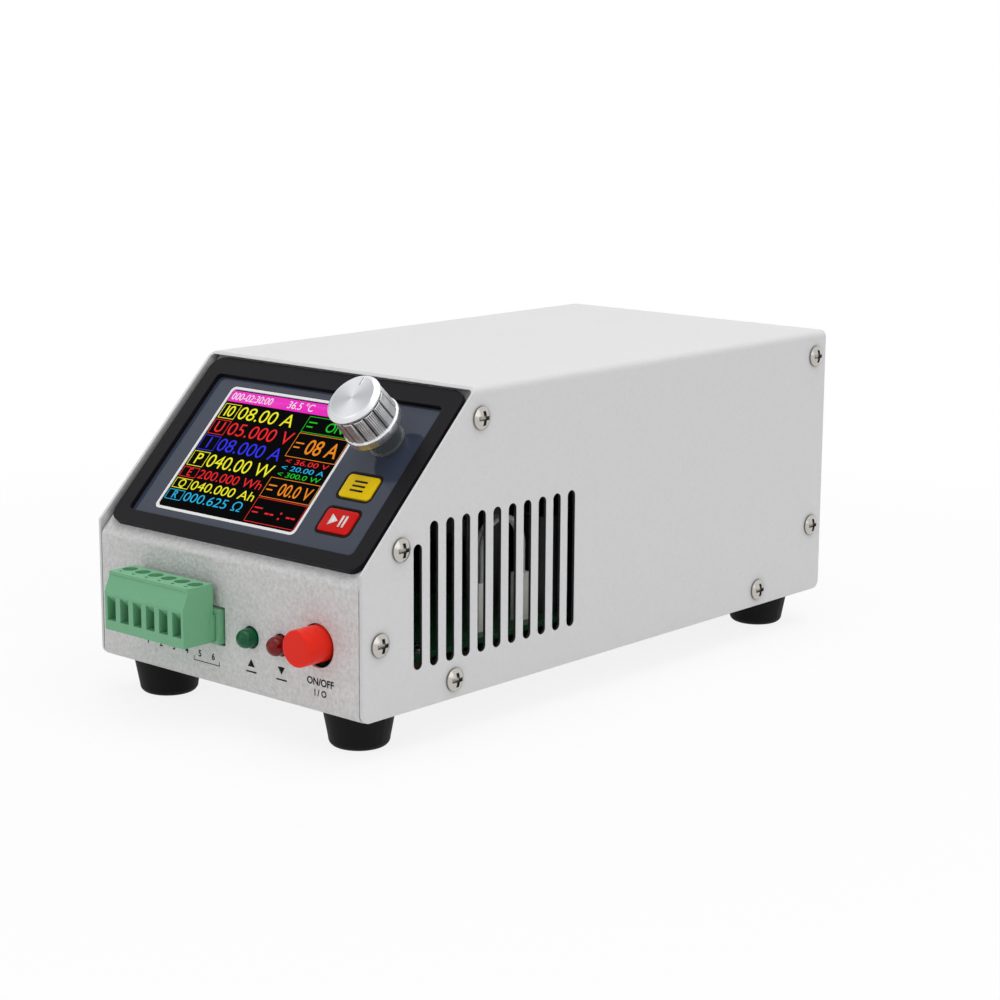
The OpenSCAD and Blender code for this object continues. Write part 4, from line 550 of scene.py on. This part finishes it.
def flat(name, shapes, place, off, finish, body, slot):
    """Flat shapes joined into one piece whose face lies a height off a place, as thick as ink below it."""
    starts = np.cumsum([0] + [len(p) for p, _ in shapes])
    points = np.concatenate([p for p, _ in shapes])
    faces = np.concatenate([f + s for (_, f), s in zip(shapes, starts)])
    points = np.concatenate([points, np.full((len(points), 1), off)], axis=1)
    obj = piece(name, put(points, place), faces.tolist(), finish, body)
    film = obj.modifiers.new("film", "SOLIDIFY")
    film.thickness, film.offset = INK * MM, -1.0


def face_marks():
    """Printed marks on the front: terminal numbers, a bracket, lamp arrows and the button's words."""
    bold = 0.025
    marks = [words(str(i + 1), x, 6.5, 1.7, "CENTER", bold) for i, x in enumerate(TERMINALS)]
    left, right, low, high, line = -12.0, -2.1, 5.2, 6.4, 0.2
    marks += [bar(left, low, right, low + line), bar(left, low, left + line, high),
              bar(right - line, low, right, high)]
    mid, tall, wide, under = 8.4, 1.0, 1.3, 1.9
    for x, up in ((LAMPS["green"], 1), (LAMPS["red"], -1)):
        foot, tip = mid - up * tall, mid + up * tall
        marks += [shape((x - up * wide, foot), (x + up * wide, foot), (x, tip)),
                  bar(x - under, 5.9, x + under, 6.3)]
    marks += [words("ON/OFF", BUTTON_X, 7.2, 1.8, "CENTER", bold),
              words("I / O", BUTTON_X, 4.5, 1.6, "CENTER", bold)]
    flat("front_marks", marks, FACE, INK, black_ink, "case", "chassis_paint")


def key_marks():
    """Printed icons on the keys: three bars on the yellow one, a play and pause sign on the red one."""
    long, thick, apart = 2.2, 0.27, 1.35
    lines = [bar(COLUMN_X - long, MENU_S + y - thick, COLUMN_X + long, MENU_S + y + thick)
             for y in (-apart, 0, apart)]
    flat("menu_key_icon", lines, SLOPE, KEY_TOP + INK, black_ink, "menu_key", "menu_key_yellow")
    x, s, half = COLUMN_X, RUN_S, 1.7
    signs = [shape((x - 2.6, s - half), (x + 0.1, s), (x - 2.6, s + half)),
             bar(x + 0.9, s - half, x + 1.6, s + half), bar(x + 2.2, s - half, x + 2.9, s + half)]
    flat("run_key_icon", signs, SLOPE, KEY_TOP + INK, white_ink, "run_key", "run_key_red")


def key_print_and_shade_rings():
    """A dark line on the window round each key, partly print and partly painted shade of the gap round the
    key: the band between two rounded outlines.
    """
    line = 0.5
    parts = []
    for s in (MENU_S, RUN_S):
        rings = [round_outline(KEY_W + 2 * d, KEY_H + 2 * d, KEY_R + d) + (COLUMN_X, s)
                 for d in (KEY_GAP, KEY_GAP + line)]
        k = np.arange(len(rings[0]))
        j, n = np.roll(k, -1), len(k)
        faces = np.concatenate([np.stack([k + n, j + n, j], 1), np.stack([k + n, j, k], 1)])
        parts.append((np.concatenate(rings), faces))
    flat("key_print_and_shade_rings", parts, SLOPE, WINDOW_TOP + INK, black_ink, "case", "window_plastic")


face_marks()
key_marks()
key_print_and_shade_rings()

SCREEN_INKS = {"magenta": "#f22dc4", "white": "#f6e9f6", "yellow": "#f7f324", "red": "#ee1c23",
               "blue": "#2a2ce8", "cyan": "#22b4e6", "green": "#12c61e", "orange": "#f08a12"}


def screen_rows():
    """Readings on the screen: a bar on top, seven rows at the left and a column of boxes at the right."""
    w, h = SCREEN_W, SCREEN_H
    thin, plain = -0.004, 0.005
    shapes = {ink: [] for ink in SCREEN_INKS}
    shapes["magenta"].append(bar(0.2, h - 3.9, w - 0.2, h - 0.3))
    shapes["white"] += [words("000-02:30:00", 0.9, h - 3.2, 2.3, span=15.5),
                        words("36.5 °C", 22.5, h - 3.2, 2.3, span=9.5)]
    # Colour, sign, reading, height of a capital, width of the reading
    rows = [("yellow", "I0", "08.00 A", 4.1, 21.0), ("red", "U", "05.000 V", 4.1, 24.0),
            ("blue", "I", "08.000 A", 4.1, 24.0), ("yellow", "P", "040.00 W", 4.1, 24.5),
            ("red", "E", "200.000 Wh", 2.85, 24.0), ("yellow", "Q", "040.000 Ah", 2.85, 24.0),
            ("cyan", "R", "000.625 Ω", 2.85, 22.0)]
    y = h - 4.4
    for ink, sign, value, cap, span in rows:
        tall = cap * 1.3
        y -= tall
        foot = y + 0.14 * tall
        shapes[ink] += [outline(0.5, y + 0.25, 6.6, y + tall - 0.25, 0.18),
                        words(sign, 3.55, foot + 0.08 * cap, cap * 0.85, "CENTER", plain),
                        words(value, 7.1, foot, cap, bold=thin, span=span)]
    split = 32.6
    boxes = [("green", h - 9.6, h - 4.5), ("orange", h - 17.6, h - 9.9), ("orange", 8.4, 14.6),
             ("red", 0.6, 8.1)]
    for ink, y0, y1 in boxes:
        mid = (y0 + y1) / 2
        shapes[ink] += [outline(split, y0, w - 0.4, y1, 0.16),
                        bar(split + 0.9, mid + 0.5, split + 3.9, mid + 0.9),
                        bar(split + 0.9, mid - 0.9, split + 3.1, mid - 0.5)]
    middle = split + 11.0
    shapes["green"].append(words("ON", middle, h - 8.5, 2.9, "CENTER", plain))
    shapes["orange"] += [words("08 A", middle, h - 16.0, 4.6, "CENTER", plain, 11.5),
                         words("00.0 V", middle, 9.6, 3.7, "CENTER", plain, 11.5)]
    shapes["red"].append(words("-- : --", middle, 2.7, 3.4, "CENTER", plain, 11.0))
    limits = (("red", "< 36.00 V"), ("cyan", "< 20.00 A"), ("green", "< 300.0 W"))
    for k, (ink, value) in enumerate(limits):
        shapes[ink].append(words(value, split + 9.0, h - 19.6 - 2.1 * k, 1.5, "CENTER", span=15.5))
    corner = SLOPE @ Matrix.Translation(Vector((SCREEN_X - w / 2, SCREEN_S - h / 2, 0)) * MM)
    for ink, parts in shapes.items():
        off = SCREEN_TOP + (2 * INK if ink == "white" else INK)
        finish = lit(f"lit_{ink}_points", SCREEN_INKS[ink])
        flat(f"screen_{ink}", parts, corner, off, finish, "case", "screen_glass")


screen_rows()


# Stage: a pale floor, soft lights and the camera


def white_where_seen(tree):
    """A factor of 1 for rays from the camera and for those mirrored or let through, and 0 for light."""
    path = add(tree, "ShaderNodeLightPath")
    either = add(tree, "ShaderNodeMath", {0: path.outputs["Is Camera Ray"], 1: path.outputs["Is Glossy Ray"]},
                 operation="MAXIMUM")
    return add(tree, "ShaderNodeMath", {0: either.outputs["Value"], 1: path.outputs["Is Transmission Ray"]},
               operation="MAXIMUM").outputs["Value"]


def studio_floor():
    """A wide pale floor that keeps a soft part of the object's shadow near it and is white further off."""
    side, near, far, least_glow = 6.0, 0.12, 0.4, 0.85
    corners = [(-side, -side, 0), (side, -side, 0), (side, side, 0), (-side, side, 0)]
    mesh = bpy.data.meshes.new("floor")
    mesh.from_pydata(corners, [], [(0, 1, 2, 3)])
    m, t, out = blank("pale_paper_floor")
    at = add(t, "ShaderNodeTexCoord").outputs["Object"]
    fibre = add(t, "ShaderNodeTexNoise", {"Vector": at, "Scale": 400.0, "Detail": 2.0})
    tone = add(t, "ShaderNodeMix", {"Factor": fibre.outputs["Fac"], "A": linear("#f4f4f4"),
                                    "B": linear("#fafafa")}, data_type="RGBA")
    paper = add(t, "ShaderNodeBsdfDiffuse", {"Color": tone.outputs["Result"]})
    glow = add(t, "ShaderNodeEmission", {"Color": (1, 1, 1, 1), "Strength": 1.0})
    away = add(t, "ShaderNodeVectorMath", {0: at}, operation="LENGTH").outputs["Value"]
    fade = add(t, "ShaderNodeMapRange", {"Value": away, "From Min": near, "From Max": far,
                                         "To Min": least_glow, "To Max": 1.0},
               interpolation_type="SMOOTHSTEP").outputs["Result"]
    seen = add(t, "ShaderNodeMath", {0: white_where_seen(t), 1: fade}, operation="MULTIPLY")
    mix = add(t, "ShaderNodeMixShader", {0: seen.outputs["Value"], 1: paper.outputs["BSDF"],
                                         2: glow.outputs["Emission"]})
    t.links.new(mix.outputs["Shader"], out.inputs["Surface"])
    mesh.materials.append(m)
    floor = bpy.data.objects.new("floor", mesh)
    bpy.context.scene.collection.objects.link(floor)


def studio_world(level):
    """An even pale surround: white where it is seen, and a lower level as light."""
    world = bpy.data.worlds.new("studio")
    world.use_nodes = True
    t = world.node_tree
    t.nodes.clear()
    seen = white_where_seen(t)
    strength = add(t, "ShaderNodeMapRange", {"Value": seen, "To Min": level, "To Max": 1.0})
    back = add(t, "ShaderNodeBackground", {"Color": (1, 1, 1, 1), "Strength": strength.outputs["Result"]})
    out = add(t, "ShaderNodeOutputWorld")
    t.links.new(back.outputs["Background"], out.inputs["Surface"])
    bpy.context.scene.world = world


def softbox(name, place, target, size, watts):
    """A square soft light that faces a target."""
    data = bpy.data.lights.new(name, "AREA")
    data.size, data.energy = size, watts
    lamp = bpy.data.objects.new(name, data)
    lamp.location = place
    lamp.rotation_euler = (Vector(target) - Vector(place)).to_track_quat("-Z", "Y").to_euler()
    bpy.context.scene.collection.objects.link(lamp)


def photo_camera():
    """The camera of the photograph, from its azimuth, height, roll and focal length."""
    azimuth_deg, elevation_deg, roll_deg = 41.43, 11.48, 0.34
    place_mm, lens_mm, sensor_mm = (433.9, -479.65, 176.4), 84.53, 36.0
    a, e, roll = (math.radians(v) for v in (azimuth_deg, elevation_deg, roll_deg))
    back = Vector((math.sin(a) * math.cos(e), -math.cos(a) * math.cos(e), math.sin(e)))
    right = Vector((math.cos(a), math.sin(a), 0))
    up = back.cross(right)
    across = right * math.cos(roll) + up * math.sin(roll)
    data = bpy.data.cameras.new("photo_camera")
    data.sensor_width, data.lens = sensor_mm, lens_mm
    data.clip_start, data.clip_end = 0.01, 50.0
    camera = bpy.data.objects.new("photo_camera", data)
    m = Matrix((across, back.cross(across), back)).transposed().to_4x4()
    m.translation = Vector(place_mm) * MM
    camera.matrix_world = m
    bpy.context.scene.collection.objects.link(camera)
    bpy.context.scene.camera = camera


studio_floor()
studio_world(0.45)
softbox("top_light", (0.1, 0.05, 0.95), (0, 0, 0), 0.9, 5.0)
softbox("side_light", (0.95, -0.2, 0.5), (0, 0, 0.04), 0.7, 1.05)
softbox("front_light", (-0.15, -1.0, 0.5), (0, 0, 0.04), 0.7, 0.9)
photo_camera()
bpy.context.scene.view_settings.view_transform = "Standard"
